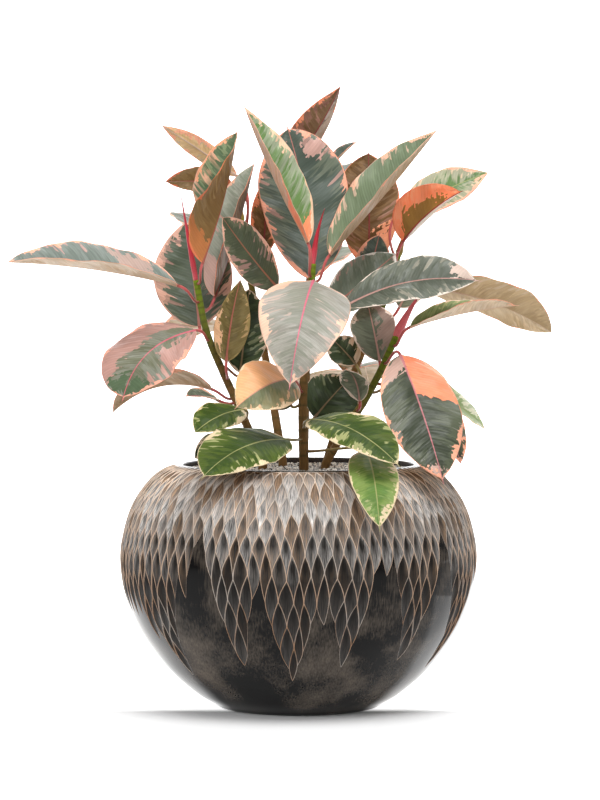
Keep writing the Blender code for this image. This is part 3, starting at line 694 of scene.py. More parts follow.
LEAVES = (
    # Left stem
    Leaf("leaf_left_long", "stem_left", 0.452, (-0.134, -0.045, 0.470), (-0.324, -0.080, 0.495), 0.088,
         (0.0, -0.30, 1.0), bow=0.03, fold=(31, 31), curl=0.05,
         upper=replace(SAGE, name="blue_sage_leaf", ground="#79827A", dark="#656F66", first="#AE9488",
                       margin="#E9A88C"), under=BEIGE_BACK, patches=(Patch(1, R, 0.10, 0.30, 0.1, 0.9),)),
    Leaf("leaf_left_upright", "stem_left", 0.472, (-0.106, -0.034, 0.495), (-0.067, -0.030, 0.645), 0.102,
         (-1.0, -0.03, 0.1), bow=-0.03, fold=(56, 34), twist=73,
         upper=replace(SAGE, name="peach_and_green_leaf", ground="#DDA98A", dark="#566A4A",
                       flush="#7D8A64", margin="#EBA27C", dark_share=0.56, flush_share=0.2),
         under=OLIVE_BACK, rims=(2.0, 1.6), patches=(Patch(1, B, -0.1, 0.16, below=True),)),
    Leaf("leaf_left_inner", "stem_left", 0.440, (-0.094, 0.018, 0.458), (-0.049, 0.044, 0.614), 0.090,
         (-0.8, -0.6, 0.2), twist=16, bow=-0.02, fold=(26, 52),
         upper=replace(SAGE, name="blue_green_leaf", ground="#9A9D8E", dark="#808776", first="#C3A094"),
         under=UMBER_BACK, patches=(Patch(1, L, -0.1, 0.22),)),
    Leaf("leaf_left_broad", "stem_left", 0.424, (-0.112, 0.030, 0.424), (-0.130, 0.068, 0.548), 0.092,
         (-0.1, -1.0, 0.25), bow=-0.04, fold=(10, 10),
         upper=replace(PINE, name="pine_and_rose_leaf", ground="#5F6853", dark="#4A5443", margin="#CFA08C",
                       first="#AC8674", flush="#98776A", flush_share=0.2), rims=(5.0, 3.0),
         patches=(Patch(1, L, 0.1, 0.9, 0.72),)),
    Leaf("leaf_left_pink", "stem_left", 0.410, (-0.114, -0.036, 0.420), (-0.191, -0.095, 0.344), 0.092,
         (-0.3, -0.75, 0.65), point=0.6, belly=0.58, bow=0.10, sway=0.11, fold=(8, 8), wave=0.05,
         upper=ROSE,
         patches=(Patch(1, R, -0.1, 0.75, 0.45), Patch(1, L, -0.1, 0.4, 0.3),
                  Patch(2, B, 0.72, 0.92, 0.0, 0.9))),
    Leaf("leaf_left_low", "stem_left", 0.345, (-0.098, 0.006, 0.354), (-0.213, 0.020, 0.324), 0.078,
         (0.1, 0.10, 1.0), bow=0.15, fold=(36, 34),
         upper=replace(PEACH, name="peach_sage_leaf", ground="#74826A", dark="#5E6D55", flush="#D9B496",
                       flush_share=0.35), under=BEIGE_BACK),
    # Its underside is a darker copy of the olive one: painted shade for the shade it hangs in
    Leaf("leaf_left_olive", "stem_left", 0.366, (-0.080, -0.030, 0.386), (-0.064, -0.004, 0.480), 0.046,
         (0.45, 0.95, 0.1), point=1.0, belly=0.38, bow=-0.05, fold=(16, 16),
         under=replace(OLIVE_BACK, name="olive_peach_underside_in_painted_shade", margin="#8A7546", ground="#6C5D34",
                       dark="#594C28", first="#D2A680", flush_share=0.02), rims=(0.9, 0.9),
         patches=(Patch(1, R, 0.1, 0.5, 0.55, below=True),)),
    Leaf("leaf_left_tan", "stem_left", 0.340, (-0.090, -0.012, 0.342), (-0.126, -0.036, 0.347), 0.032,
         (0.1, -0.4, 1.0), fold=(26, 26), under=BEIGE_BACK),
    Leaf("leaf_left_green", "stem_left", 0.320, (-0.062, -0.032, 0.332), (-0.115, -0.070, 0.307), 0.058,
         (-0.2, -0.7, 0.9), bow=0.10, fold=(10, 10), upper=FRESH, stalk=GREEN_STALK),
    Leaf("leaf_left_small", "stem_left", 0.300, (-0.074, -0.012, 0.300), (-0.117, -0.022, 0.277), 0.034,
         (0.1, -0.8, 0.6), upper=SHADE, stalk=GREEN_STALK),
    Leaf("leaf_left_shade", "stem_left", 0.378, (-0.066, 0.022, 0.372), (-0.056, 0.052, 0.470), 0.056,
         (0.2, -1.0, 0.1), bow=0.03, upper=SHADE, stalk=BROWN_STALK),

    # Middle stem
    Leaf("leaf_heart", "stem_middle", 0.460, (0.016, -0.060, 0.474), (-0.010, -0.138, 0.357), 0.100,
         (0.0, -0.8, 0.6), belly=0.33, point=0.85, bow=0.18, fold=(6, 6), wave=0.05,
         upper=replace(GREY, name="heart_leaf", ground="#9A968B", dark="#828274", dark_share=0.36,
                       margin="#E6BCA2", rib="#D4607A", first="#DDB49A", flush="#B9A396", flush_share=0.2),
         rims=(2.4, 3.0), patches=(Patch(1, R, -0.1, 0.10, 0.62),)),
    Leaf("leaf_centre_left", "stem_middle", 0.448, (-0.024, 0.028, 0.468), (-0.086, -0.032, 0.548), 0.054,
         (0.25, -0.95, 0.35), bow=-0.03, fold=(10, 10),
         upper=replace(PINE, name="dark_sage_leaf", ground="#6C7259", dark="#4F5842", margin="#E6B49C",
                       rib="#A86A50"), rims=(1.5, 1.2)),
    Leaf("leaf_centre_broad", "stem_middle", 0.462, (0.012, 0.005, 0.478), (-0.014, 0.040, 0.654), 0.104,
         (0.1, -1.0, 0.2), sway=0.05, point=0.6, belly=0.58, bow=-0.05, fold=(12, 12), upper=PINE,
         rims=(3.2, 2.6), patches=(Patch(1, R, 0.68, 0.8, 0.4, 1.0),)),
    Leaf("leaf_spear", "stem_middle", 0.480, (0.010, -0.046, 0.517), (-0.062, -0.052, 0.673), 0.086,
         (0.6, -0.7, 0.4), point=1.1, bow=-0.03, fold=(60, 12), upper=SPEAR,
         under=replace(TAN_BACK, name="peach_underside", ground="#CBA084", dark="#BB9274",
                       first="#F0855C"), rims=(2.0, 3.0),
         patches=(Patch(1, B, -0.1, 0.10), Patch(1, B, -0.1, 0.25, below=True))),
    Leaf("leaf_right_spear", "stem_middle", 0.474, (0.035, -0.036, 0.504), (0.157, -0.045, 0.647), 0.094,
         (-0.55, -0.8, 0.45), point=1.1, bow=-0.02, fold=(8, 64),
         upper=replace(SAGE, name="veined_sage_leaf", ground="#78846A", dark="#68755A", flush="#C6A892",
                       flush_share=0.07, vein_tint=0.16, dark_share=0.5), under=BEIGE_BACK),
    Leaf("leaf_right_broad", "stem_middle", 0.434, (0.052, -0.062, 0.447), (0.199, -0.080, 0.474), 0.064,
         (-0.1, -0.9, 0.6), sway=-0.075, belly=0.58, bow=0.05, fold=(8, 22),
         upper=replace(GREY, name="silver_sage_leaf", ground="#62675A", dark="#4D5246", flush="#8B8778",
                       margin="#DDCDBE", first="#BFA99B"), rims=(0.7, 1.3),
         patches=(Patch(1, L, 0.76, 0.90, 0.15, 0.95),)),
    # Its ground and dark tones are lighter than the pine leaf's, as painted light to make up for the shade
    # it sits in
    Leaf("leaf_right_dark", "stem_middle", 0.428, (0.036, 0.000, 0.444), (0.112, 0.018, 0.508), 0.062,
         (-0.3, -0.9, 0.35), bow=0.0, fold=(12, 12),
         upper=replace(PINE, name="white_edged_leaf", ground="#828A7B", dark="#667060", margin="#E9E2D8")),
    Leaf("leaf_peach", "stem_middle", 0.352, (-0.006, -0.066, 0.366), (-0.069, -0.116, 0.336), 0.072,
         (-0.1, -0.95, 0.5), bow=0.18, fold=(10, 10), upper=PEACH, patches=(Patch(1, R, -0.1, 1.2),)),
    Leaf("leaf_front_left", "stem_middle", 0.300, (-0.012, -0.070, 0.301), (-0.103, -0.170, 0.264), 0.086,
         (-0.1, -0.7, 0.9), sway=0.04, bow=0.08, fold=(8, 8), upper=FRESH, stalk=GREEN_STALK),
    Leaf("leaf_front_right", "stem_middle", 0.312, (0.014, -0.078, 0.323), (0.108, -0.185, 0.277), 0.072,
         (0.1, -0.65, 1.0), bow=0.10, fold=(10, 10), upper=FRESH, stalk=GREEN_STALK),
    Leaf("leaf_front_hanging", "stem_middle", 0.286, (0.073, -0.100, 0.290), (0.085, -0.212, 0.212), 0.054,
         (0.1, -0.8, 0.6), bow=0.12, fold=(10, 10),
         upper=replace(FRESH, name="light_green_leaf", ground="#7C924C", dark="#5C7A38"),
         stalk=GREEN_STALK),
    Leaf("leaf_low_dark", "stem_middle", 0.326, (0.018, 0.006, 0.322), (0.060, 0.022, 0.368), 0.066,
         (-0.2, -0.95, 0.2), fold=(8, 8), upper=SHADE, stalk=GREEN_STALK),
    Leaf("leaf_middle_low", "stem_middle", 0.338, (-0.008, -0.018, 0.336), (-0.040, -0.024, 0.364), 0.036,
         (0.2, -1.0, 0.2), upper=SHADE, stalk=GREEN_STALK),

    # Right stem
    Leaf("leaf_hanging", "stem_right", 0.384, (0.112, -0.058, 0.393), (0.156, -0.130, 0.256), 0.086,
         (0.15, -0.9, 0.4), fold=(8, 8), upper=CORAL,
         patches=(Patch(1, L, -0.2, 0.34), Patch(2, R, -0.2, 0.12), Patch(2, B, 0.88, 1.2, -0.2, 0.5))),
    Leaf("leaf_right_fold", "stem_right", 0.404, (0.124, -0.034, 0.424), (0.243, -0.050, 0.448), 0.048,
         (-0.1, -0.18, 1.0), twist=-58, bow=0.03, fold=(40, 45),
         upper=replace(FRESH, name="grey_fresh_leaf", ground="#84905F", dark="#6B7A4C", margin="#DDBFA4"),
         under=replace(BEIGE_BACK, name="pale_beige_underside", ground="#DDC6AA", dark="#CFB597")),
    Leaf("leaf_right_grey", "stem_right", 0.372, (0.091, 0.004, 0.386), (0.077, 0.012, 0.453), 0.052,
         (0.1, -1.0, 0.2), belly=0.60, fold=(8, 8),
         upper=replace(GREY, name="mauve_and_green_leaf", ground="#727866", dark="#5A6150",
                       first="#917C71"), patches=(Patch(1, R, -0.1, 1.1, 0.3),)),
    Leaf("leaf_curl", "stem_right", 0.330, (0.068, -0.036, 0.342), (0.050, -0.068, 0.378), 0.036,
         (-0.4, -0.8, -0.3), bow=-0.20, fold=(20, 20), upper=GREY),
    Leaf("leaf_right_narrow", "stem_right", 0.362, (0.126, -0.014, 0.370), (0.180, -0.050, 0.269), 0.056,
         (0.5, -0.5, 0.5), bow=0.08, fold=(20, 20), upper=CORAL),
    Leaf("leaf_right_green", "stem_right", 0.352, (0.120, 0.012, 0.362), (0.214, 0.030, 0.305), 0.066,
         (0.2, -0.4, 1.0), bow=0.08,
         upper=replace(FRESH, name="cream_green_leaf", ground="#B4BE96", dark="#93A876", flush="#E0DFC4",
                       flush_share=0.3), stalk=GREEN_STALK),
    Leaf("leaf_right_olive", "stem_right", 0.350, (0.064, 0.008, 0.382), (0.036, 0.020, 0.412), 0.040,
         (0.3, -1.0, 0.2), upper=SHADE, stalk=GREEN_STALK),

    # Back right stem
    Leaf("leaf_orange", "stem_back_right", 0.494, (0.118, 0.020, 0.520), (0.184, -0.004, 0.576), 0.070,
         (-0.1, 1.0, 0.1), belly=0.40, bow=0.0, sway=0.065, fold=(76, 6), under=CORAL_BACK,
         rims=(0.6, 0.6),
         patches=(Patch(1, R, 0.0, 0.7, -0.2, 0.45, below=True),
                  Patch(2, L, -0.2, 1.2, -0.05, below=True))),
    Leaf("leaf_variegated", "stem_back_right", 0.500, (0.118, 0.067, 0.555), (0.221, 0.067, 0.601), 0.062,
         (-0.2, -0.75, 0.65), point=1.0, bow=0.03,
         upper=replace(FRESH, name="grey_cream_leaf", ground="#A3A388", dark="#5F7A4A", flush="#D9BFA0",
                       margin="#F0AC90", flush_share=0.3), rims=(2.0, 7.0),
         under=replace(TAN_BACK, name="salmon_underside", ground="#EBAA90", dark="#E19C80")),
    Leaf("leaf_back_brown", "stem_back_right", 0.470, (0.080, 0.062, 0.492), (0.080, 0.080, 0.627), 0.076,
         (-0.2, 1.0, 0.1), point=0.7, belly=0.60, bow=-0.03, under=UMBER_BACK,
         patches=(Patch(1, L, -0.1, 0.28, 0.2, below=True),)),
    Leaf("leaf_droop", "stem_back_right", 0.452, (0.142, 0.066, 0.468), (0.296, 0.080, 0.414), 0.074,
         (0.15, 0.60, 1.0), point=0.7, belly=0.62, bow=0.08, fold=(12, 26),
         under=replace(TAN_BACK, name="drooping_underside", ground="#C0A680", dark="#AB926D",
                       flush="#CBB496", rib="#B99A80"), rims=(0.9, 0.9)),
    Leaf("leaf_right_peach", "stem_back_right", 0.430, (0.114, 0.024, 0.446), (0.148, 0.022, 0.498), 0.042,
         (-0.3, -0.9, 0.3), upper=GREY, rims=(3.0, 4.0)),
    Leaf("leaf_back_small", "stem_back_right", 0.458, (0.078, 0.034, 0.470), (0.092, 0.030, 0.530), 0.040,
         (-0.1, -1.0, 0.1), upper=PINE, rims=(4.0, 4.0)),

    # Back stem
    Leaf("leaf_top_brown", "stem_back", 0.560, (-0.022, 0.080, 0.590), (0.050, 0.052, 0.702), 0.054,
         (-0.2, 1.0, 0.2), point=1.1, fold=(58, 12), bow=-0.04, sway=-0.03,
         under=replace(UMBER_BACK, name="rosy_umber_underside", ground="#775C40", dark="#664C34",
                       flush="#875F50", flush_share=0.35),
         patches=(Patch(2, L, -0.2, 1.0, 0.0, below=True),)),
    Leaf("leaf_top_small", "stem_back", 0.574, (0.030, 0.112, 0.598), (0.069, 0.118, 0.639), 0.026,
         (-0.4, -0.8, 0.5), fold=(10, 60), upper=PINE, rims=(1.0, 1.6)),

    # Back left stem
    Leaf("leaf_back_upper", "stem_back_left", 0.536, (-0.072, 0.104, 0.598), (-0.161, 0.090, 0.657), 0.028,
         (-0.6, 0.45, 0.7), point=1.0, bow=0.03, fold=(20, 20),
         under=replace(TAN_BACK, name="amber_underside", ground="#DABA8C", dark="#C9A87B", rib="#C4A898")),
    Leaf("leaf_back_tan", "stem_back_left", 0.520, (-0.076, 0.080, 0.586), (-0.156, 0.078, 0.590), 0.046,
         (-0.4, 0.6, 0.8), point=1.0, bow=0.04, under=OLIVE_BACK),
    Leaf("leaf_back_dark", "stem_back_left", 0.480, (-0.041, 0.086, 0.506), (-0.034, 0.074, 0.597), 0.036,
         (0.0, 1.0, 0.1), under=UMBER_BACK),

    # Behind, where the front view does not reach
    Leaf("leaf_rear_low", "stem_back", 0.350, (0.010, 0.136, 0.366), (0.030, 0.250, 0.330), 0.080,
         (0.0, 0.3, 1.0), bow=0.12, upper=FRESH, stalk=GREEN_STALK),
    Leaf("leaf_rear_left", "stem_back_left", 0.400, (-0.074, 0.124, 0.420), (-0.160, 0.205, 0.400), 0.084,
         (-0.1, 0.4, 1.0), bow=0.12, upper=GREY),
    Leaf("leaf_rear_right", "stem_back_right", 0.362, (0.070, 0.100, 0.376), (0.084, 0.216, 0.350), 0.082,
         (0.1, 0.4, 1.0), bow=0.12, upper=ROSE, patches=(Patch(1, L, 0.1, 0.7, 0.4),)),
    Leaf("leaf_rear_middle", "stem_back", 0.470, (0.020, 0.146, 0.490), (0.036, 0.258, 0.512), 0.084,
         (0.0, -0.3, 1.0), bow=0.10),
    Leaf("leaf_rear_high", "stem_back", 0.540, (0.036, 0.140, 0.566), (0.078, 0.206, 0.622), 0.074,
         (-0.4, -0.5, 1.0), upper=PINE),
    Leaf("leaf_rear_left_high", "stem_back_left", 0.490, (-0.084, 0.138, 0.516), (-0.150, 0.220, 0.560),
         0.078, (0.4, -0.5, 1.0), upper=CORAL, patches=(Patch(1, R, -0.1, 0.3),)),
)

STEMS = {stem.name: stem for stem in (
    StemShape("stem_middle", ((0.006, -0.030, 0.270), (0.005, -0.030, 0.347),
                              (0.012, -0.028, 0.436), (0.016, -0.030, 0.494)), 0.0054, 0.0036),
    StemShape("stem_left", ((-0.040, 0.000, 0.270), (-0.064, 0.000, 0.328),
                            (-0.084, 0.000, 0.372), (-0.103, -0.010, 0.420),
                            (-0.114, -0.015, 0.476)), 0.0050, 0.0034),
    StemShape("stem_right", ((0.030, 0.000, 0.270), (0.055, -0.010, 0.313),
                             (0.074, -0.010, 0.342), (0.093, -0.015, 0.378),
                             (0.109, -0.020, 0.414)), 0.0048, 0.0036),
    StemShape("stem_back_right", ((0.032, 0.045, 0.270), (0.056, 0.055, 0.350),
                                  (0.074, 0.055, 0.398), (0.097, 0.050, 0.451),
                                  (0.113, 0.040, 0.504)), 0.0048, 0.0032),
    StemShape("stem_back_left", ((-0.018, 0.050, 0.270), (-0.036, 0.090, 0.376),
                                 (-0.054, 0.108, 0.467), (-0.066, 0.112, 0.545)), 0.0050,
              0.0032),
    StemShape("stem_back", ((0.006, 0.065, 0.270), (0.010, 0.108, 0.410), (0.014, 0.116, 0.513),
                            (0.016, 0.112, 0.587)), 0.0052, 0.0032),
)}

SHEATHS = (
    ("sheath_middle", "stem_middle", (0.029, -0.037, 0.555), 0.0034, RED_SHEATH),
    ("sheath_left", "stem_left", (-0.131, -0.014, 0.572), 0.0032, RED_SHEATH),
    ("sheath_right", "stem_right", (0.134, -0.040, 0.460), 0.0054, ROSE_SHEATH),
)

# Rear stems whose next leaf is still rolled up in its tip
YOUNG_TIPS = (
    ("tip_back_right", "stem_back_right", (0.121, 0.034, 0.535)),
    ("tip_back_left", "stem_back_left", (-0.072, 0.113, 0.579)),
    ("tip_back", "stem_back", (0.018, 0.109, 0.622)),
)


def catmull_rom(points: tuple, steps: int) -> list[Vector]:
    """Draws a smooth curve through points.

    Args:
        points: The points that it passes.
        steps: Places in each span.

    Returns:
        The places along the curve.
    """
    spots = [Vector(point) for point in points]
    ends = [2 * spots[0] - spots[1]] + spots + [2 * spots[-1] - spots[-2]]
    curve = []
    for p0, p1, p2, p3 in zip(ends, ends[1:], ends[2:], ends[3:]):
        for step in range(steps):
            t = step / steps
            curve.append(0.5 * (2 * p1 + (p2 - p0) * t + (2 * p0 - 5 * p1 + 4 * p2 - p3) * t * t
                                + (3 * p1 - p0 - 3 * p2 + p3) * t ** 3))
    return curve + [spots[-1]]


def on_circle(radius: float, height: float, turn: float) -> Point:
    """Finds a place round the upright axis, by part of a full turn from the front."""
    angle = 2 * math.pi * turn
    return radius * math.sin(angle), -radius * math.cos(angle), height


@dataclass
class Sketch:
    """A mesh in the making: points, faces with their finish, and marks for the materials."""

    points: list = field(default_factory=list)
    faces: list = field(default_factory=list)
    slots: list = field(default_factory=list)
    marks: dict = field(default_factory=dict)
    face_marks: dict = field(default_factory=dict)

    def add_points(self, points: list, **marks: list) -> list[int]:
        """Adds points with their marks.

        Args:
            points: The places.
            **marks: One value for each point, under the mark's name.

        Returns:
            The new points' indices.
        """
        start = len(self.points)
        self.points += [tuple(point) for point in points]
        for name, values in marks.items():
            self.marks.setdefault(name, []).extend(values)
        return list(range(start, len(self.points)))

    def add_faces(self, faces: list, slot: int = 0, **marks: float) -> None:
        """Adds faces with one finish.

        Args:
            faces: The indices of each face's points.
            slot: The finish's slot.
            **marks: One value for all these faces, under the mark's name.
        """
        self.faces += faces
        self.slots += [slot] * len(faces)
        for name, value in marks.items():
            self.face_marks.setdefault(name, []).extend([value] * len(faces))

    def join(self, lower: list[int], upper: list[int], slot: int = 0) -> None:
        """Closes the band between two rings of the same count."""
        self.add_faces([(lower[i - 1], lower[i], upper[i], upper[i - 1])
                        for i in range(len(lower))], slot)

    def tube(self, rings: list[list[int]], slot: int = 0) -> None:
        """Joins rings to a tube with closed ends."""
        for lower, upper in zip(rings, rings[1:]):
            self.join(lower, upper, slot)
        self.add_faces([tuple(rings[0][::-1]), tuple(rings[-1])], slot)

    def piece(self, name: str, *finishes: Finish) -> bpy.types.Object:
        """Makes the object, with its faces outward and smooth.

        Args:
            name: The piece's name.
            *finishes: One finish for each slot.

        Returns:
            The object, in the scene.
        """
        mesh = bpy.data.meshes.new(name)
        mesh.from_pydata(self.points, [], self.faces)
        mesh.polygons.foreach_set("material_index", self.slots)
        for marks, domain in ((self.marks, "POINT"), (self.face_marks, "FACE")):
            for mark, values in marks.items():
                flat = np.asarray(values, np.float32)
                kind, key = ("FLOAT", "value") if flat.ndim == 1 else ("FLOAT_VECTOR", "vector")
                mesh.attributes.new(mark, kind, domain).data.foreach_set(key, flat.ravel())
        for finish in finishes:
            mesh.materials.append(finish.material())
        mesh.validate()
        shell = bmesh.new()
        shell.from_mesh(mesh)
        bmesh.ops.recalc_face_normals(shell, faces=shell.faces)
        shell.to_mesh(mesh)
        shell.free()
        mesh.shade_smooth()
        made = bpy.data.objects.new(name, mesh)
        bpy.context.scene.collection.objects.link(made)
        LOG.info("%s: %d points, %d faces", name, len(self.points), len(self.faces))
        return made


def mount(piece: bpy.types.Object, slot: str, *nodes: str) -> None:
    """Hangs a piece on the plant's one body.

    Args:
        piece: The piece.
        slot: A material slot's name. It is not used.
        *nodes: The solid nodes that it stands for.
    """
    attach(piece, "root")
    if nodes:
        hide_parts(*nodes)


@dataclass
class GlobePot:
    """The pot: a globe with a net of gouged scales that hangs down from its mouth."""

    profile: tuple = ((0.1340, 0.2700), (0.1505, 0.2658), (0.1680, 0.2525), (0.1865, 0.2255),
                      (0.1970, 0.1920), (0.2000, 0.1620), (0.1940, 0.1240), (0.1775, 0.0845),
                      (0.1480, 0.0440), (0.1180, 0.0170), (0.0960, 0.0030))
    foot: tuple = ((0.0935, 0.0009), (0.0900, 0.0))
    lip: tuple = ((0.1333, 0.2704), (0.1320, 0.2705), (0.1309, 0.2701), (0.1300, 0.2691),
                  (0.1290, 0.2676), (0.1288, 0.2655), (0.1288, 0.2560))
    lacquered_down_to: float = 0.268
    inside: tuple = ((0.1580, 0.2460), (0.1840, 0.2100), (0.1915, 0.1640), (0.1800, 0.1080),
                     (0.1420, 0.0500), (0.0960, 0.0110))
    columns: int = 90
    # Rows of crossings by arc length below the mouth
    rows: tuple = (0.004, 0.026, 0.048, 0.069, 0.090, 0.112, 0.137, 0.164, 0.192, 0.220, 0.244,
                   0.264, 0.283)
    # How far a ridge is an arch and not a straight line, and how far crossings stray: as part of a
    # turn, and in metres
    bulge: float = 0.80
    stray_turn: float = 0.0016
    stray_arc: float = 0.00416
    # Places across a scale, closer at its ridges
    steps: tuple = (0.0, 0.05, 0.14, 0.30, 0.50, 0.70, 0.86, 0.95, 1.0)
    # A gouge: its depth, the shares of its length where it has bitten in and starts to run out,
    # and how much of its depth is left at its end
    depth: float = 0.0042
    bites_in: float = 0.10
    runs_out: float = 0.12
    left_over: float = 0.10
    # How round its start is, and how flat its floor is between two ridges
    start_curve: float = 0.6
    floor_curve: float = 3.0
    # What the slant of a ridge takes off the level distance to it
    slant: float = 0.92
    # Half gouges along the mouth are shallower and rounder
    mouth_depth: float = 0.55
    mouth_curve: float = 2.6
    # Scales narrower than this are gouged less, and a point this far has no ridge near it, in mm
    full_breadth: float = 3.0
    no_ridge: float = 9.0
    # The mark of depth below the mouth for the foot and the inside, in mm
    far_down: float = 290.0
    # Lower edge of the carving: azimuth from the front in degrees, arc length below the mouth
    edge: tuple = (
        (-164, 0.118), (-152, 0.232), (-141, 0.158), (-130, 0.255), (-119, 0.108), (-108, 0.232),
        (-98, 0.120), (-88, 0.232), (-76, 0.168), (-62, 0.168), (-50, 0.255), (-36, 0.118),
        (-32, 0.104), (-28, 0.135), (-24, 0.190), (-20, 0.232), (-14.5, 0.172), (-12.5, 0.148),
        (-9, 0.185), (-5, 0.235), (-2, 0.255), (0, 0.238), (2, 0.205), (6.5, 0.160), (16, 0.232),
        (26, 0.104), (28, 0.116), (31, 0.112), (40, 0.232), (48.5, 0.116), (52, 0.100), (58, 0.168),
        (61, 0.204), (66, 0.255), (69, 0.210), (73, 0.172), (79, 0.150), (90, 0.255), (101, 0.108),
        (116, 0.235), (124, 0.150), (134, 0.255), (147, 0.112), (160, 0.232), (170, 0.158),
        (182, 0.255))
    smooth_rings: int = 14
    smoothing: int = 12
    stray_seed: int = 11
    tone_seed: int = 7
    sketch: Sketch = field(default_factory=Sketch)
    corners: dict = field(default_factory=dict)
    sides: dict = field(default_factory=dict)

    def __post_init__(self) -> None:
        """Lays out the profile by arc length and shifts the net's crossings a little."""
        self.curve = np.array([tuple(place) for place in catmull_rom(self.profile, self.smoothing)])
        self.arcs = np.concatenate([[0.0], np.cumsum(np.hypot(*np.diff(self.curve, axis=0).T))])
        draw = random.Random(self.stray_seed)
        self.shift = {(row, column): (draw.uniform(-1, 1) * self.stray_turn,
                                      draw.uniform(-1, 1) * self.stray_arc)
                      for row in range(1, len(self.rows) - 1)
                      for column in range(self.columns)}
        self.draw = random.Random(self.tone_seed)

    def on_profile(self, arc: float) -> np.ndarray:
        """Finds the profile's radius and height at an arc length below the mouth."""
        return np.array([np.interp(arc, self.arcs, self.curve[:, i]) for i in (0, 1)])

    def carved_to(self, turn: float) -> float:
        """Finds how far below the mouth the carving reaches at part of a turn."""
        angles, depths = zip(*self.edge)
        return float(np.interp(turn * 360, angles, depths, period=360))

    def place(self, turn: float, arc: float, depth: float = 0.0) -> Point:
        """Finds a place on the outside or below it.

        Args:
            turn: Part of a full turn from the front.
            arc: Arc length below the mouth.
            depth: How far under the surface.

        Returns:
            The place.
        """
        down = self.on_profile(arc + MM) - self.on_profile(arc - MM)
        down *= depth / np.hypot(*down)
        radius, height = self.on_profile(arc)
        return on_circle(radius + down[1], height - down[0], turn)

    def node(self, row: int, column: int) -> tuple[float, float]:
        """Finds a crossing of the net as a turn and an arc length."""
        column %= self.columns
        around, along = self.shift.get((row, column), (0.0, 0.0))
        return (column + 0.5 * (row % 2)) / self.columns + around, self.rows[row] + along

    def centre(self, row: int, column: int) -> float:
        """Finds the turn where a scale's middle lies."""
        return (column + 0.5 + 0.5 * (row % 2)) / self.columns

    def is_carved(self, row: int, column: int) -> bool:
        """True if the carving reaches the scale at a row and a column."""
        reach = self.carved_to(self.centre(row, column))
        return row < len(self.rows) - 1 and self.rows[row] <= reach

    def ease(self, upper: tuple[int, int], share: float) -> float:
        """Finds how far a ridge has gone sideways at a share of its way down.

        A ridge arches over the scale under its upper crossing. Where none is carved there, it
        bulges the other way, so that the last scales of the net close in a rounded point.

        Args:
            upper: Row and column of the ridge's upper crossing.
            share: How far down the ridge.

        Returns:
            The share of its way sideways.
        """
        row, column = upper[0] + 1, upper[1] % self.columns
        if self.is_carved(row, column if row % 2 == 0 else column - 1):
            curve = math.sin(math.pi / 2 * share)
        else:
            curve = 1 - math.cos(math.pi / 2 * share)
        return (1 - self.bulge) * share + self.bulge * curve

    def mark_point(self, turn: float, arc: float, depth: float, ridge: float) -> int:
        """Adds one point of the outside.

        Args:
            turn: Part of a full turn from the front.
            arc: Arc length below the mouth.
            depth: How far under the surface.
            ridge: Distance to the nearest carved ridge, in millimetres.

        Returns:
            The point's index.
        """
        return self.sketch.add_points([self.place(turn, arc, depth)], ridge=[ridge],
                                      gouge=[depth / self.depth], down=[arc / MM])[0]

    def corner(self, row: int, column: int) -> int:
        """Finds or adds the point at a crossing."""
        key = (row, column % self.columns)
        if key not in self.corners:
            self.corners[key] = self.mark_point(*self.node(*key), 0.0, self.no_ridge)
        return self.corners[key]

    def side(self, upper: tuple, lower: tuple, wrap: float, bare: bool) -> list[int]:
        """Finds or adds the points along a ridge, from its upper crossing to its lower one.

        Args:
            upper: Row and column of the upper crossing.
            lower: Row and column of the lower crossing.
            wrap: Turns from the upper to the lower crossing.
            bare: True if the carving doesn't reach the ridge.

        Returns:
            The points' indices.
        """
        key = (upper[0], upper[1] % self.columns, lower[1] % self.columns)
        if key not in self.sides:
            (turn, arc), (_, arc_after) = self.node(*upper), self.node(*lower)
            ridge = self.no_ridge if bare else 0.0
            middle = [self.mark_point(turn + wrap * self.ease(upper, s),
                                      arc + (arc_after - arc) * s, 0.0, ridge)
                      for s in self.steps[1:-1]]
            self.sides[key] = [self.corner(*upper)] + middle + [self.corner(*lower)]
        elif not bare:
            for index in self.sides[key]:
                self.sketch.marks["ridge"][index] = 0.0
        return self.sides[key]

    def gouge(self, down: float, from_left: float, from_right: float) -> tuple[float, float]:
        """Works out a carved scale's surface at one place.

        Args:
            down: How far down the scale, as a share of its length.
            from_left: Distance to its left outline, in millimetres.
            from_right: Distance to its right outline.

        Returns:
            The depth, and the distance to the nearest ridge in millimetres.
        """
        near = max(min(from_left, from_right), 0.02) * self.slant
        broad = max((from_left + from_right) / 2, 0.05)
        rise = min(1.0, down / self.bites_in) ** self.start_curve
        fall = 1 - max(0.0, down - self.runs_out) / (1 - self.runs_out)
        bowl = 1 - max(0.0, 1 - near / broad) ** self.floor_curve
        room = min(1.0, broad / self.full_breadth)
        return self.depth * rise * (self.left_over + (1 - self.left_over) * fall) * bowl * room, near

    def add_scale(self, row: int, column: int) -> None:
        """Adds one scale of the net, gouged where the carving reaches it.

        Args:
            row: The row of its left and right crossings.
            column: The column of its left crossing.
        """
        middle, count = column + row % 2, len(self.steps) - 1
        nodes = {"top": (row - 1, middle), "left": (row, column), "right": (row, column + 1),
                 "bottom": (row + 1, middle)}
        centre, is_carved = self.centre(row, column), self.is_carved(row, column)
        turns, arcs = {}, {}
        for name, node in nodes.items():
            turn, arcs[name] = self.node(*node)
            turns[name] = centre + (turn - centre + 0.5) % 1.0 - 0.5
        outer = [self.side(nodes[upper], nodes[lower], turns[lower] - turns[upper], not is_carved)
                 for upper, lower in (("top", "left"), ("right", "bottom"), ("top", "right"),
                                      ("left", "bottom"))]
        grid = [[0] * (count + 1) for _ in self.steps]
        for i, ends in enumerate(zip(*outer)):
            grid[0][i], grid[count][i], grid[i][0], grid[i][count] = ends
        to_mm = 2 * math.pi * self.on_profile(self.rows[row])[0] / MM

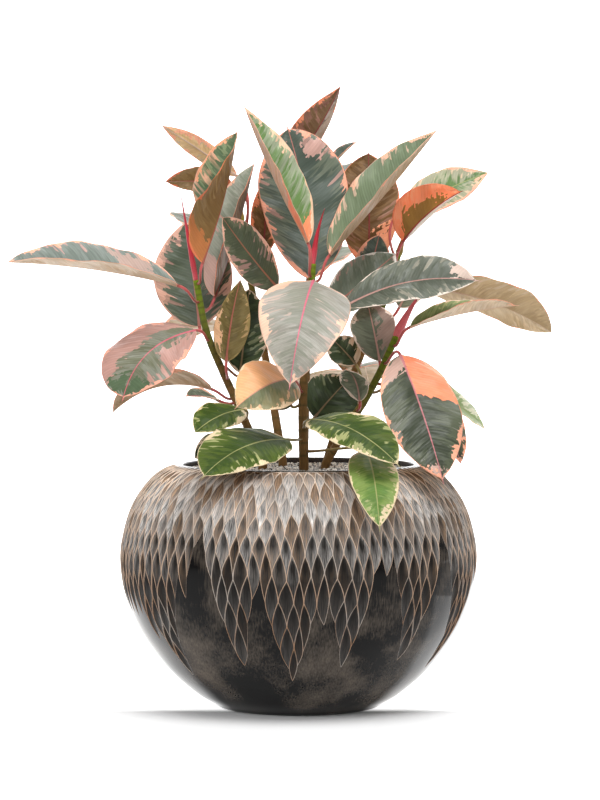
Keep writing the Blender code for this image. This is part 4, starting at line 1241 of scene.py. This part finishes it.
        def run(upper: str, lower: str, share: float) -> float:
            """Where a ridge runs at a share of its way down."""
            return turns[upper] + (turns[lower] - turns[upper]) * self.ease(nodes[upper], share)

        def outline(side: str, arc: float) -> float:
            """Where the left or right outline runs at an arc length."""
            upper, lower = ("top", side) if arc < arcs[side] else (side, "bottom")
            share = (arc - arcs[upper]) / (arcs[lower] - arcs[upper])
            return run(upper, lower, min(max(share, 0.0), 1.0))

        for i in range(1, count):
            for j in range(1, count):
                a, b = self.steps[i], self.steps[j]
                weights = ((1 - a) * (1 - b), (1 - a) * b, a * (1 - b), a * b)
                arc = sum(map(math.prod, zip(weights, arcs.values())))
                turn = ((1 - b) * run("top", "right", a) + b * run("left", "bottom", a)
                        + (1 - a) * run("top", "left", b) + a * run("right", "bottom", b)
                        - sum(map(math.prod, zip(weights, turns.values()))))
                depth, ridge = 0.0, self.no_ridge
                if is_carved:
                    down = (arc - arcs["top"]) / (arcs["bottom"] - arcs["top"])
                    depth, ridge = self.gouge(down, (turn - outline("left", arc)) * to_mm,
                                              (outline("right", arc) - turn) * to_mm)
                grid[i][j] = self.mark_point(turn, arc, depth, ridge)
        self.sketch.add_faces([(a, b, d, c) for above, below in zip(grid, grid[1:])
                               for a, b, c, d in zip(above, above[1:], below, below[1:])],
                              scale=self.draw.random(), carved=float(is_carved))

    def add_end_rows(self) -> tuple[list[int], list[int]]:
        """Fills the half scales along the mouth and under the net.

        Returns:
            The ring of points along the mouth and the one under the net.
        """
        last, half = len(self.rows) - 1, 0.5 / self.columns
        rings = {0: [], last: []}
        for column in range(self.columns):
            for row, ring in rings.items():
                left, right = (row, column), (row, column + 1)
                if row == 0:
                    tip = (1, column)
                    first = self.side(left, tip, self.node(*tip)[0] - self.node(*left)[0], False)
                    second = self.side(right, tip, -half, False)
                else:
                    tip = (last - 1, column)
                    first = self.side(tip, left, -half, True)[::-1]
                    second = self.side(tip, right, half, True)[::-1]
                # Along the mouth the base counts as a ridge, so the lip takes the ridges' light line, here
                # a painted highlight along the rim
                between = [self.mark_point((column + s) / self.columns, self.rows[row], 0.0,
                                           0.0 if row == 0 else self.no_ridge)
                           for s in self.steps[1:-1]]
                base = [first[0]] + between + [second[0]]
                ring += base[:-1]
                self.fill_half(base, first, second, row == 0)
        return rings[0], rings[last]

    def fill_half(self, base: list[int], left: list[int], right: list[int],
                  is_carved: bool) -> None:
        """Fills a half scale between its straight base and its two ridges.

        Args:
            base: The points along the base.
            left: The points from the base's start to the tip.
            right: The points from the base's end to the tip.
            is_carved: True along the mouth.
        """
        rows, count = [base], len(self.steps) - 1
        points = self.sketch.points
        for k in range(1, count):
            start, end = Vector(points[left[k]]), Vector(points[right[k]])
            wide = (end - start).length / MM
            row = [left[k]]
            for share in self.steps[1:-1]:
                spot, depth, ridge = start.lerp(end, share), 0.0, self.no_ridge
                if is_carved:
                    ridge = min(share, 1 - share) * wide
                    bowl = 1 - max(0.0, 1 - 2 * ridge / wide) ** self.mouth_curve
                    depth = self.depth * self.mouth_depth * (1 - self.steps[k]) * bowl
                    spot = spot * ((spot.length - depth) / spot.length)
                row += self.sketch.add_points([spot], ridge=[ridge], gouge=[depth / self.depth],
                                              down=[self.sketch.marks["down"][left[k]]])
            rows.append(row + [right[k]])
        faces = [(a[j], a[j + 1], b[j + 1], b[j])
                 for a, b in zip(rows, rows[1:]) for j in range(count)]
        faces += [(a, b, left[-1]) for a, b in zip(rows[-1], rows[-1][1:])]
        self.sketch.add_faces(faces, scale=self.draw.random(), carved=float(is_carved))

    def add_band(self, fine: list[int], coarse: list[int], slot: int) -> None:
        """Closes the band between two rings, where the first has the same or more points.

        Args:
            fine: The ring with more points.
            coarse: The ring with as many, or a whole part of them.
            slot: The finish's slot.
        """
        ratio = len(fine) // len(coarse)
        faces = []
        for i, corner in enumerate(coarse):
            after = coarse[(i + 1) % len(coarse)]
            run = [fine[(i * ratio + k) % len(fine)] for k in range(ratio + 1)]
            if ratio == 1:
                faces.append((run[0], run[1], after, corner))
                continue
            turn = ratio // 2
            faces += [(corner, run[k], run[k + 1]) for k in range(turn)]
            faces.append((corner, run[turn], after))
            faces += [(after, run[k], run[k + 1]) for k in range(turn, ratio)]
        self.sketch.add_faces(faces, slot, scale=0.5, carved=0.0)

    def add_rings(self, ring: list[int], places: list) -> None:
        """Runs a surface from a ring over further rings to a closing face.

        Args:
            ring: The ring that it starts from.
            places: Radius, height, number of sides and finish's slot of each further ring.
        """
        for radius, height, sides, slot in places:
            following = self.sketch.add_points(
                [on_circle(radius, height, side / sides) for side in range(sides)],
                ridge=[self.no_ridge] * sides, gouge=[0.0] * sides, down=[self.far_down] * sides)
            self.add_band(ring, following, slot)
            ring = following
        self.sketch.add_faces([tuple(ring)], slot, scale=0.5, carved=0.0)

    def build(self) -> None:
        """Builds the pot and hangs it in place of its node."""
        for row in range(1, len(self.rows) - 1):
            for column in range(self.columns):
                self.add_scale(row, column)
        mouth, under = self.add_end_rows()
        smooth = np.linspace(self.rows[-1], self.arcs[-1], self.smooth_rings)[1:]
        below = [*map(self.on_profile, smooth), *self.foot]
        self.add_rings(under, [(*place, self.columns * 4, 0) for place in below])
        rolled = [(*place, len(mouth), 0 if place[1] > self.lacquered_down_to else 1)
                  for place in self.lip]
        self.add_rings(mouth, rolled + [(*place, self.columns, 1) for place in self.inside])
        mount(self.sketch.piece("globe_pot", POT_LACQUER, POT_INSIDE), "pot_lacquer", "pot")


@dataclass
class Filling:
    """The loose layer of granite grit on the soil."""

    bed_radius: float = 0.1280
    bed_hole: float = 0.004
    bed_bottom: float = 0.2580
    bed_top: float = 0.2636
    bed_sides: int = 96
    # Corners of a block of radius 1 that lie nearer than this share an edge
    neighbours: float = 1.1
    spacing: float = 0.0027
    row_spacing: float = 0.87
    scatter: float = 0.3
    smallest: float = 0.0010
    largest: float = 0.0021
    clear_of_stems: float = 0.0018
    # Ranges of chance: how high a stone lies, how flat it is along two axes, how far corners stray
    heights: tuple = (-0.1, 0.75)
    flatness: tuple = ((0.7, 1.0), (0.5, 0.85))
    chipping: tuple = (0.82, 1.1)
    # Shares of white, grey and dark stones
    tones: tuple = (0.58, 0.20, 0.22)
    seed: int = 5

    def __post_init__(self) -> None:
        """Lays out a twenty-sided block: each facet's corners are all neighbours."""
        golden = (1 + math.sqrt(5)) / 2
        self.corners = [Vector(np.roll((side, high, 0.0), shift)).normalized()
                        for shift in range(3) for high in (golden, -golden) for side in (-1, 1)]
        self.facets = [trio for trio in combinations(range(len(self.corners)), 3)
                       if all((self.corners[a] - self.corners[b]).length < self.neighbours
                              for a, b in combinations(trio, 2))]

    def add_bed(self, sketch: Sketch) -> None:
        """Adds the disc of packed grit under the loose stones."""
        outline = ((self.bed_hole, self.bed_bottom), (self.bed_radius, self.bed_bottom),
                   (self.bed_radius, self.bed_top), (self.bed_hole, self.bed_top))
        sketch.tube([sketch.add_points([on_circle(radius, height, side / self.bed_sides)
                                        for side in range(self.bed_sides)])
                     for radius, height in outline], 2)

    def add_stone(self, sketch: Sketch, draw: random.Random, x: float, y: float,
                  size: float) -> None:
        """Adds one stone: a twenty-sided block, squashed, turned and chipped by chance.

        Args:
            sketch: The mesh in the making.
            draw: Where the chance comes from.
            x: Where it lies, to the right.
            y: Where it lies, to the back.
            size: Its radius.
        """
        centre = Vector((x, y, self.bed_top + draw.uniform(*self.heights) * size))
        spin = Matrix.Rotation(draw.uniform(0, 6.28), 3, Vector(
            (draw.uniform(-1, 1), draw.uniform(-1, 1), draw.uniform(-1, 1) + 0.01)))
        squash = Vector((1.0, *(draw.uniform(*span) for span in self.flatness)))
        stone = sketch.add_points([centre + spin @ (corner * squash) * size
                                   * draw.uniform(*self.chipping) for corner in self.corners])
        tone = draw.choices((0, 1, 2), self.tones)[0]
        sketch.add_faces([tuple(stone[k] for k in trio) for trio in self.facets], tone)

    def build(self) -> None:
        """Builds the grit."""
        draw = random.Random(self.seed)
        sketch = Sketch()
        self.add_bed(sketch)
        reach = int(self.bed_radius / self.spacing) + 1
        for i in range(-reach, reach + 1):
            for j in range(-reach, reach + 1):
                x = (i + 0.5 * (j % 2) + draw.uniform(-self.scatter, self.scatter)) * self.spacing
                y = (j * self.row_spacing + draw.uniform(-self.scatter, self.scatter)) * self.spacing
                size = draw.uniform(self.smallest, self.largest)
                is_clear = all(math.dist((x, y), stem.route[0][:2])
                               >= stem.foot_radius + self.clear_of_stems
                               for stem in STEMS.values())
                if is_clear and math.hypot(x, y) <= self.bed_radius - size:
                    self.add_stone(sketch, draw, x, y, size)
        piece = sketch.piece("granite_grit", WHITE_GRIT, BLUE_GRIT, BLACK_GRIT)
        piece.data.shade_flat()
        mount(piece, "granite_grit", "gravel")


def at_height(curve: list[Vector], height: float) -> Vector:
    """Finds where a rising line passes a height.

    Args:
        curve: The places along the line.
        height: The height.

    Returns:
        The place.
    """
    for start, end in zip(curve, curve[1:]):
        if height <= end.z:
            return start.lerp(end, (height - start.z) / (end.z - start.z))
    return curve[-1]


@dataclass
class Stems:
    """The six stems, with a ring at each old leaf scar, and the sheath or young tip on each."""

    foot: float = 0.2150
    leaves_soil: float = 0.2700
    straight_to: float = 0.2600
    smoothing: int = 8
    step: float = 0.0016
    sides: int = 18
    # How much a scar swells the stem, and half its height
    swelling: float = 0.045
    scar_height: float = 0.0011
    unevenness: float = 0.008
    # Scars keep this far from a stem's ends, and its direction is taken over this much each way
    reach: float = 0.004
    # The distance between scars at the top and low down, and how it grows
    top_gap: float = 0.0060
    widest_gap: float = 0.0125
    gap_growth: float = 1.06
    # How far below the top the bark is fully old
    green_length: float = 0.12
    sheath_rings: int = 32
    sheath_sides: int = 16
    sheath_lobes: float = 0.10
    sheath_turn: float = 2.4
    # Radius along a sheath, as shares of its length and of its greatest radius
    sheath_shape: tuple = ((0.0, 0.672), (0.18, 0.96), (0.45, 0.768), (0.75, 0.4032),
                           (1.0, 0.0768))
    young_tip_radius: float = 0.0042

    def curve(self, stem: StemShape) -> list[Vector]:
        """The centre line of a stem, straight down into the soil."""
        x, y = stem.route[0][:2]
        return [Vector((x, y, self.foot))] + catmull_rom(stem.route, self.smoothing)

    def radius(self, stem: StemShape, height: float) -> float:
        """The radius of a stem between its swellings."""
        top = stem.route[-1][2]
        share = max(0.0, (height - self.leaves_soil) / (top - self.leaves_soil))
        return stem.foot_radius + (stem.top_radius - stem.foot_radius) * share

    def axis(self, curve: list[Vector], height: float) -> Vector:
        """The direction of a stem at a height."""
        if height <= self.leaves_soil:
            return Vector((0, 0, 1))
        return (at_height(curve, height + self.reach)
                - at_height(curve, height - self.reach)).normalized()

    def scars(self, stem: StemShape, draw: random.Random) -> list[float]:
        """Heights of the old leaf scars, closer together toward the top.

        Args:
            stem: The stem.
            draw: Where the small differences come from.

        Returns:
            The heights.
        """
        height, gap, found = stem.route[-1][2] - self.reach, self.top_gap, []
        while height > self.leaves_soil + self.reach:
            found.append(height)
            height -= gap * draw.uniform(0.85, 1.15)
            gap = min(gap * self.gap_growth, self.widest_gap)
        return found

    def ring(self, centre: Vector, axis: Vector, radius: float, sides: int,
             lobes: float = 0.0, turn: float = 0.0) -> list[Vector]:
        """Lays a ring of points round an axis.

        Args:
            centre: Its centre.
            axis: The direction that it goes round.
            radius: Its radius.
            sides: How many points it has.
            lobes: How far it is from round, as a share of the radius.
            turn: How far the lobes have turned, in radians.

        Returns:
            The points.
        """
        right = (Vector((1, 0, 0)) - axis * axis.x).normalized()
        ahead = axis.cross(right)
        angles = [2 * math.pi * side / sides for side in range(sides)]
        return [centre + (right * math.cos(a) + ahead * math.sin(a)) * radius
                * (1 + lobes * math.cos(2 * (a - turn))) for a in angles]

    def build_stem(self, stem: StemShape, seed: int) -> None:
        """Builds one stem and hangs it in place of its node.

        Args:
            stem: The stem.
            seed: Where its small differences start.
        """
        draw = random.Random(seed)
        curve, top = self.curve(stem), stem.route[-1][2]
        scars = self.scars(stem, draw)
        count = round((top - self.leaves_soil) / self.step)
        heights = [self.foot, self.straight_to] + [
            self.leaves_soil + (top - self.leaves_soil) * k / count for k in range(count + 1)]
        sketch, rings = Sketch(), []
        for height in heights:
            nearest = min(abs(height - scar) for scar in scars)
            scar = math.exp(-(nearest / self.scar_height) ** 2)
            uneven = draw.uniform(-self.unevenness, self.unevenness)
            radius = self.radius(stem, height) * (1 + self.swelling * scar + uneven)
            points = self.ring(at_height(curve, height), self.axis(curve, height), radius,
                               self.sides)
            age = min(1.0, (top - height) / self.green_length)
            rings.append(sketch.add_points(points, age=[age] * self.sides,
                                           scar=[scar] * self.sides))
        sketch.tube(rings)
        mount(sketch.piece("bark_" + stem.name, GREEN_BARK), "stem_bark", stem.name)

    def build_sheath(self, name: str, stem: StemShape, tip: Point, widest: float,
                     finish: Finish, *nodes: str) -> None:
        """Builds a pointed sheath on a stem's top.

        Args:
            name: What it is called.
            stem: The stem that it stands on.
            tip: Where it ends.
            widest: Its greatest radius.
            finish: Its finish.
            *nodes: The solid nodes that it stands for.
        """
        curve = self.curve(stem)
        tangent = (curve[-1] - curve[-2]).normalized()
        foot, end = curve[-1] - tangent * MM, Vector(tip)
        bend = foot + tangent * (end - foot).length * 0.5
        shares, widths = zip(*self.sheath_shape)
        sketch, rings = Sketch(), []
        for k in range(self.sheath_rings + 1):
            part = k / self.sheath_rings
            centre = foot.lerp(bend, part).lerp(bend.lerp(end, part), part)
            axis = (bend - foot).lerp(end - bend, part).normalized()
            radius = widest * float(np.interp(part, shares, widths))
            points = self.ring(centre, axis, radius, self.sheath_sides, self.sheath_lobes,
                               part * self.sheath_turn)
            rings.append(sketch.add_points(points, along=[part] * self.sheath_sides))
        sketch.tube(rings)
        mount(sketch.piece("wrapped_" + name, finish), "red_sheath", *nodes)

    def build(self) -> None:
        """Builds every stem and sheath."""
        for seed, stem in enumerate(STEMS.values()):
            self.build_stem(stem, seed)
        for name, stem_name, tip, widest, finish in SHEATHS:
            self.build_sheath(name, STEMS[stem_name], tip, widest, finish, name)
        for name, stem_name, tip in YOUNG_TIPS:
            self.build_sheath(name, STEMS[stem_name], tip, self.young_tip_radius, YOUNG_TIP)


@dataclass
class Foliage:
    """The leaves: blade, midrib and stalk of each as one closed body."""

    stems: Stems
    thickness: float = 0.0006
    thins_over: float = 0.0007
    stalk_radius: float = 0.0018
    # The stalk is this much slimmer in its middle, and starts at this share of the stem's radius
    stalk_waist: float = 0.16
    stalk_foot: float = 0.55
    # It leaves the stem, and meets the blade, straight for these shares of its length
    straight_out: float = 0.35
    straight_in: float = 0.45
    tip_width: float = 0.0009
    stations: int = 54
    stalk_bands: int = 12
    # Places across a half, from the midrib to the margin
    across: tuple = (0.0, 0.04, 0.08, 0.13, 0.22, 0.34, 0.47, 0.60, 0.72, 0.83, 0.92, 0.975, 1.0)
    # The three columns next to the midrib stand this many rib radii from it
    beside_rib: tuple = (0.5, 1.0, 1.6)
    # The fold at the midrib is this round, as a share of the half width
    crease: float = 0.03
    # Waves of the margin along the blade: the leaf's own ripple, and a finer flutter of this height
    ripples: float = 2.5
    flutters: float = 6.1
    flutter: float = 0.014
    # Swells of the halves: how their start shifts from leaf to leaf, their waves and their height
    swells: tuple = ((2.3, 1.4, 0.16), (3.1, 3.2, 0.072))
    # How round the base is. The oval ends at this share of the length, and the drip tip goes on
    base_curve: float = 0.6
    oval_end: float = 0.96
    # How much slimmer the midrib gets over its first tenth, and over the whole blade
    rib_neck: float = 0.35
    rib_taper: float = 0.7
    # How much less it stands out above than below, and where along the blade it has sunk so far
    rib_sunk: float = 0.72
    sunk_at: float = 0.08
    # A side vein slants toward the tip, and bends more near the margin
    vein_slant: float = 0.42
    vein_bend: float = 0.16
    # How far apart two leaves' blotches lie, and the two halves of one leaf
    leaf_shift: float = 3.7
    half_shift: float = 1.9
    # Stations crowd toward both ends of the blade by this share
    crowding: float = 0.115

    def outline(self, leaf: Leaf, u: float) -> float:
        """Finds the half width at a share of the length: an oval with a drip tip.

        Args:
            leaf: The leaf.
            u: The share, from 0 at the base to 1 at the tip.

        Returns:
            A share of the greatest half width.
        """
        if u < leaf.belly:
            oval = (1 - (1 - u / leaf.belly) ** 2) ** self.base_curve
        else:
            oval = max(0.0, 1 - ((u - leaf.belly) / (self.oval_end - leaf.belly)) ** 2) ** leaf.point
        return max(oval, 0.5 * (1 - u) if u > 0.5 else 0.0)

    def frame(self, leaf: Leaf, u: float) -> tuple[Vector, Vector, Vector, Vector]:
        """Finds the midrib at a share of the blade's length.

        Args:
            leaf: The leaf.
            u: The share, from 0 at the base to 1 at the tip.

        Returns:
            The midrib's place and direction, the right side and the upper side.
        """
        base, tip = Vector(leaf.base), Vector(leaf.tip)
        chord = tip - base
        upper = Vector(leaf.faces)
        upper = (upper - chord * upper.dot(chord) / chord.length_squared).normalized()
        side = chord.normalized().cross(upper)
        bend = base + chord / 2 + (upper * leaf.bow + side * leaf.sway) * 2 * chord.length
        place = base.lerp(bend, u).lerp(bend.lerp(tip, u), u)
        tangent = (bend - base).lerp(tip - bend, u).normalized()
        normal = (upper - tangent * upper.dot(tangent)).normalized()
        normal = Matrix.Rotation(math.radians(leaf.twist) * (u - 0.5), 3, tangent) @ normal
        return place, tangent, tangent.cross(normal), normal

    def columns(self, half: float, rib: float) -> list[float]:
        """Places the columns of a cross section, from the left margin to the right one.

        Args:
            half: The half width there.
            rib: The midrib's radius there.

        Returns:
            Signed shares of the half width.
        """
        shares = list(self.across)
        for k, radii in enumerate(self.beside_rib):
            shares[k + 1] = min(shares[k + 1], radii * rib / half)
        return [-share for share in shares[:0:-1]] + shares

    def patch_depth(self, leaf: Leaf, tone: int, below: bool, vein: float, v: float,
                    half: float) -> float:
        """Finds how deep in a patch of one tone a point lies.

        Args:
            leaf: The leaf.
            tone: 1 or 2.
            below: True on the underside.
            vein: Where the point's side vein leaves the midrib, in millimetres.
            v: The point's signed share of the half width.
            half: The half width there in millimetres.

        Returns:
            Millimetres to the nearest edge of the patch, below 0 outside it.
        """
        length, reach = math.dist(leaf.base, leaf.tip) / MM, abs(v)
        depths = [min(vein - patch.start * length, patch.end * length - vein,
                      (reach - patch.inner) * half, (patch.outer - reach) * half)
                  for patch in leaf.patches
                  if (patch.tone, patch.below) == (tone, below) and v * patch.side.value >= 0]
        return max([NO_PATCH, *depths])

    def blade_ring(self, sketch: Sketch, leaf: Leaf, u: float, seed: int) -> list[int]:
        """Adds a cross section of the blade: the upper side from left to right, and back below.

        Args:
            sketch: The mesh in the making.
            leaf: The leaf.
            u: The share of the blade's length.
            seed: The leaf's number, which sets its blotches apart.

        Returns:
            The points' indices.
        """
        place, _, right, normal = self.frame(leaf, u)
        length = math.dist(leaf.base, leaf.tip) / MM
        narrowest = self.tip_width + (self.stalk_radius - self.tip_width) * (1 - u)
        half = max(leaf.width / 2 * self.outline(leaf, u), narrowest * (1 - 0.7 * u ** 12))
        rib = self.stalk_radius * (1 - self.rib_neck * min(1, u / 0.1)) * (1 - self.rib_taper * u)
        rib_above = 1 - self.rib_sunk * min(1.0, u / self.sunk_at)
        # The place of its base sets each leaf's ripples apart
        phase, turns = sum(leaf.base) * 60, 2 * math.pi * u
        waves = (leaf.wave * math.sin(phase + turns * self.ripples)
                 + self.flutter * math.sin(phase * 1.7 + turns * self.flutters))
        bulge, swell = (math.sin(phase * rate + turns * count) * height
                        for rate, count, height in self.swells)
        shares = self.columns(half, rib)
        above, below = [], []
        marks = {name: [] for name in ("veins", "inward", "rim", "beside_rib", "along")}
        for v in shares:
            size, sign, which = abs(v), math.copysign(1, v), int(v >= 0)
            fold, aside = math.radians(leaf.fold[which]), size * half
            from_fold, edge = math.hypot(v, self.crease), -leaf.curl + waves * sign
            lift = math.sin(fold) * (from_fold - self.crease) + edge * v * v
            lift += (bulge * sign + swell) * size * (1 - size)
            slope = math.sin(fold) * v / from_fold + 2 * v * edge
            point = place + right * (v * half * math.cos(fold)) + normal * (lift * half)
            outward = (normal * math.cos(fold) - right * slope).normalized()
            round_rib = math.sqrt(max(0.0, rib * rib - aside * aside))
            sheet = self.thickness / 2 * math.sqrt(min(1.0, (half - aside) / self.thins_over))
            above.append(point + outward * max(sheet, round_rib * rib_above))
            below.append(point - outward * max(sheet, round_rib))
            vein = u * length - aside / MM * (self.vein_slant + self.vein_bend * size)
            marks["veins"].append((vein, v, seed * self.leaf_shift
                                   + (0.0 if which else self.half_shift)))
            marks["inward"].append((half - aside) / MM)
            marks["rim"].append(leaf.rims[which])
            marks["beside_rib"].append(aside / rib)
            marks["along"].append(u)
        last = len(shares) - 1
        order = list(range(last + 1)) + list(range(last - 1, 0, -1))
        spread = {name: [values[k] for k in order] for name, values in marks.items()}
        for tone, name in enumerate(("first_patch", "second_patch"), 1):
            spread[name] = [self.patch_depth(leaf, tone, index > last, spread["veins"][index][0],
                                             shares[k], half / MM)
                            for index, k in enumerate(order)]
        return sketch.add_points(above + below[last - 1:0:-1], **spread)

    def stalk_rings(self, sketch: Sketch, leaf: Leaf, stem: StemShape) -> list[list[int]]:
        """Adds the stalk's cross sections, from inside the stem to the blade.

        Args:
            sketch: The mesh in the making.
            leaf: The leaf.
            stem: The stem that carries it.

        Returns:
            The rings, as lists of indices.
        """
        curve = self.stems.curve(stem)
        core = at_height(curve, leaf.node)
        axis = self.stems.axis(curve, leaf.node)
        base, direction, _, normal = self.frame(leaf, 0.0)
        outward = base - core
        outward = (outward - axis * outward.dot(axis)).normalized()
        start = core + outward * self.stems.radius(stem, leaf.node) * self.stalk_foot
        length = (base - start).length
        first = start + outward * length * self.straight_out
        second = base - direction * length * self.straight_in
        shares = self.columns(self.stalk_radius, self.stalk_radius)
        around = [(v, math.sqrt(max(0.0, 1 - v * v))) for v in shares]
        around += [(v, -up) for v, up in around[-2:0:-1]]
        count, rings = len(around), []
        for band in range(self.stalk_bands):
            t = band / self.stalk_bands
            s = 1 - t
            centre = start * s ** 3 + first * 3 * s * s * t + second * 3 * s * t * t + base * t ** 3
            along = (first - start) * s * s + (second - first) * 2 * s * t + (base - second) * t * t
            along.normalize()
            up = (normal - along * normal.dot(along)).normalized()
            across = along.cross(up)
            radius = self.stalk_radius * (1 - self.stalk_waist * (1 - abs(2 * t - 1) ** 3))
            marks = {name: [0.0] * count for name in ("inward", "rim", "beside_rib")}
            marks |= {name: [NO_PATCH] * count for name in ("first_patch", "second_patch")}
            rings.append(sketch.add_points(
                [centre + (across * v + up * high) * radius for v, high in around],
                veins=[(0.0, 0.0, 0.0)] * count, along=[t] * count, **marks))
        return rings

    def build_leaf(self, leaf: Leaf, seed: int) -> None:
        """Builds one leaf and hangs it in place of its node.

        Args:
            leaf: The leaf.
            seed: Its number.
        """
        sketch = Sketch()
        stalk = self.stalk_rings(sketch, leaf, STEMS[leaf.stem])
        shares = [k / self.stations for k in range(self.stations + 1)]
        blade = [self.blade_ring(sketch, leaf,
                                 share - self.crowding * math.sin(2 * math.pi * share), seed)
                 for share in shares]
        for lower, upper in zip(stalk, stalk[1:] + blade[:1]):
            sketch.join(lower, upper, 2)
        width = 2 * len(self.across) - 2
        for lower, upper in zip(blade, blade[1:]):
            for i in range(len(lower)):
                j = (i + 1) % len(lower)
                sketch.add_faces([(lower[i], lower[j], upper[j], upper[i])], 0 if i < width else 1)
        sketch.add_faces([tuple(stalk[0][::-1])], 2)
        sketch.add_faces([tuple(blade[-1])], 0)
        piece = sketch.piece("blade_of_" + leaf.name, leaf.upper, leaf.under, leaf.stalk)
        mount(piece, "variegated_leaf", leaf.name)

    def build(self) -> None:
        """Builds every leaf."""
        for seed, leaf in enumerate(LEAVES):
            self.build_leaf(leaf, seed)


@dataclass
class Studio:
    """A white acrylic table that curves up behind the pot, soft lamps and the camera."""

    camera_place: Point = (0.0017, -3.0, 0.445)
    camera_aim: Point = (0.0017, 0.0, 0.342)
    lens: float = 120.5
    sensor: float = 36.0
    sweep_width: float = 20.0
    sweep_front: float = -5.2
    sweep_back: float = 4.5
    sweep_radius: float = 0.9
    sweep_height: float = 4.4
    sweep_steps: int = 25
    sheet: float = 0.02
    white: str = "#FFFFFF"
    fill: float = 0.42
    # Each lamp's name, place, target, width and height, and power in watts
    lamps: tuple = (
        ("top_lamp", (0.25, -1.0, 2.1), (0.0, 0.0, 0.30), (1.2, 1.2), 38.0),
        ("front_lamp", (-1.6, -2.3, 1.5), (0.0, 0.0, 0.30), (0.9, 0.9), 20.0),
        ("backdrop_lamp", (0.0, 1.3, 2.3), (0.0, 2.6, 0.4), (3.0, 0.8), 90.0))

    def hang(self, name: str, data: bpy.types.ID, place: Point, target: Point) -> bpy.types.Object:
        """Hangs a lamp or the camera and turns it to its target.

        Args:
            name: Its name.
            data: The lamp or the camera.
            place: Where it hangs.
            target: What it looks at.

        Returns:
            The object.
        """
        item = bpy.data.objects.new(name, data)
        item.location = place
        item.rotation_euler = (Vector(target) - item.location).to_track_quat("-Z", "Y").to_euler()
        bpy.context.scene.collection.objects.link(item)
        return item

    def add_sweep(self) -> None:
        """Lays the acrylic: flat under the pot, and curved up behind it."""
        line = [(self.sweep_front, 0.0)] + [
            (self.sweep_back + self.sweep_radius * math.sin(a),
             self.sweep_radius * (1 - math.cos(a)))
            for a in np.linspace(0, math.pi / 2, self.sweep_steps)]
        line.append((self.sweep_back + self.sweep_radius, self.sweep_height))
        back = [(y + self.sheet * min(1, z), z - self.sheet) for y, z in reversed(line)]
        sketch = Sketch()
        sketch.tube([sketch.add_points([(x, y, z) for y, z in line + back])
                     for x in (-self.sweep_width / 2, self.sweep_width / 2)])
        piece = sketch.piece("table_sweep", LitAcrylic("lit_white_acrylic"))

    def add_lamp(self, name: str, place: Point, target: Point, size: tuple[float, float],
                 power: float) -> None:
        """Adds a soft lamp.

        Args:
            name: Its name.
            place: Where it hangs.
            target: What it looks at.
            size: Its width and height.
            power: Its power in watts.
        """
        lamp = bpy.data.lights.new(name, "AREA")
        lamp.shape = "RECTANGLE"
        (lamp.size, lamp.size_y), lamp.energy = size, power
        self.hang(name, lamp, place, target)

    def build(self) -> None:
        """Sets up the sweep, the lamps and the camera."""
        self.add_sweep()
        scene = bpy.context.scene
        scene.world = bpy.data.worlds.new("studio")
        scene.world.use_nodes = True
        backdrop = scene.world.node_tree.nodes["Background"]
        feed(backdrop, {"Color": self.white, "Strength": self.fill})
        for lamp in self.lamps:
            self.add_lamp(*lamp)
        camera = bpy.data.cameras.new("camera")
        camera.lens, camera.sensor_width = self.lens, self.sensor
        scene.camera = self.hang("camera", camera, self.camera_place, self.camera_aim)
        scene.view_settings.view_transform = "Standard"


def main() -> None:
    """Builds the plant, its pot and the studio."""
    logging.basicConfig(level=logging.INFO, format="%(name)s %(message)s")
    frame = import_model()
    GlobePot().build()
    Filling().build()
    frame["nodes"]["soil"].data.materials.clear()
    frame["nodes"]["soil"].data.materials.append(POTTING_SOIL.material())
    stems = Stems()
    stems.build()
    Foliage(stems).build()
    Studio().build()


if __name__ == "__main__":
    main()
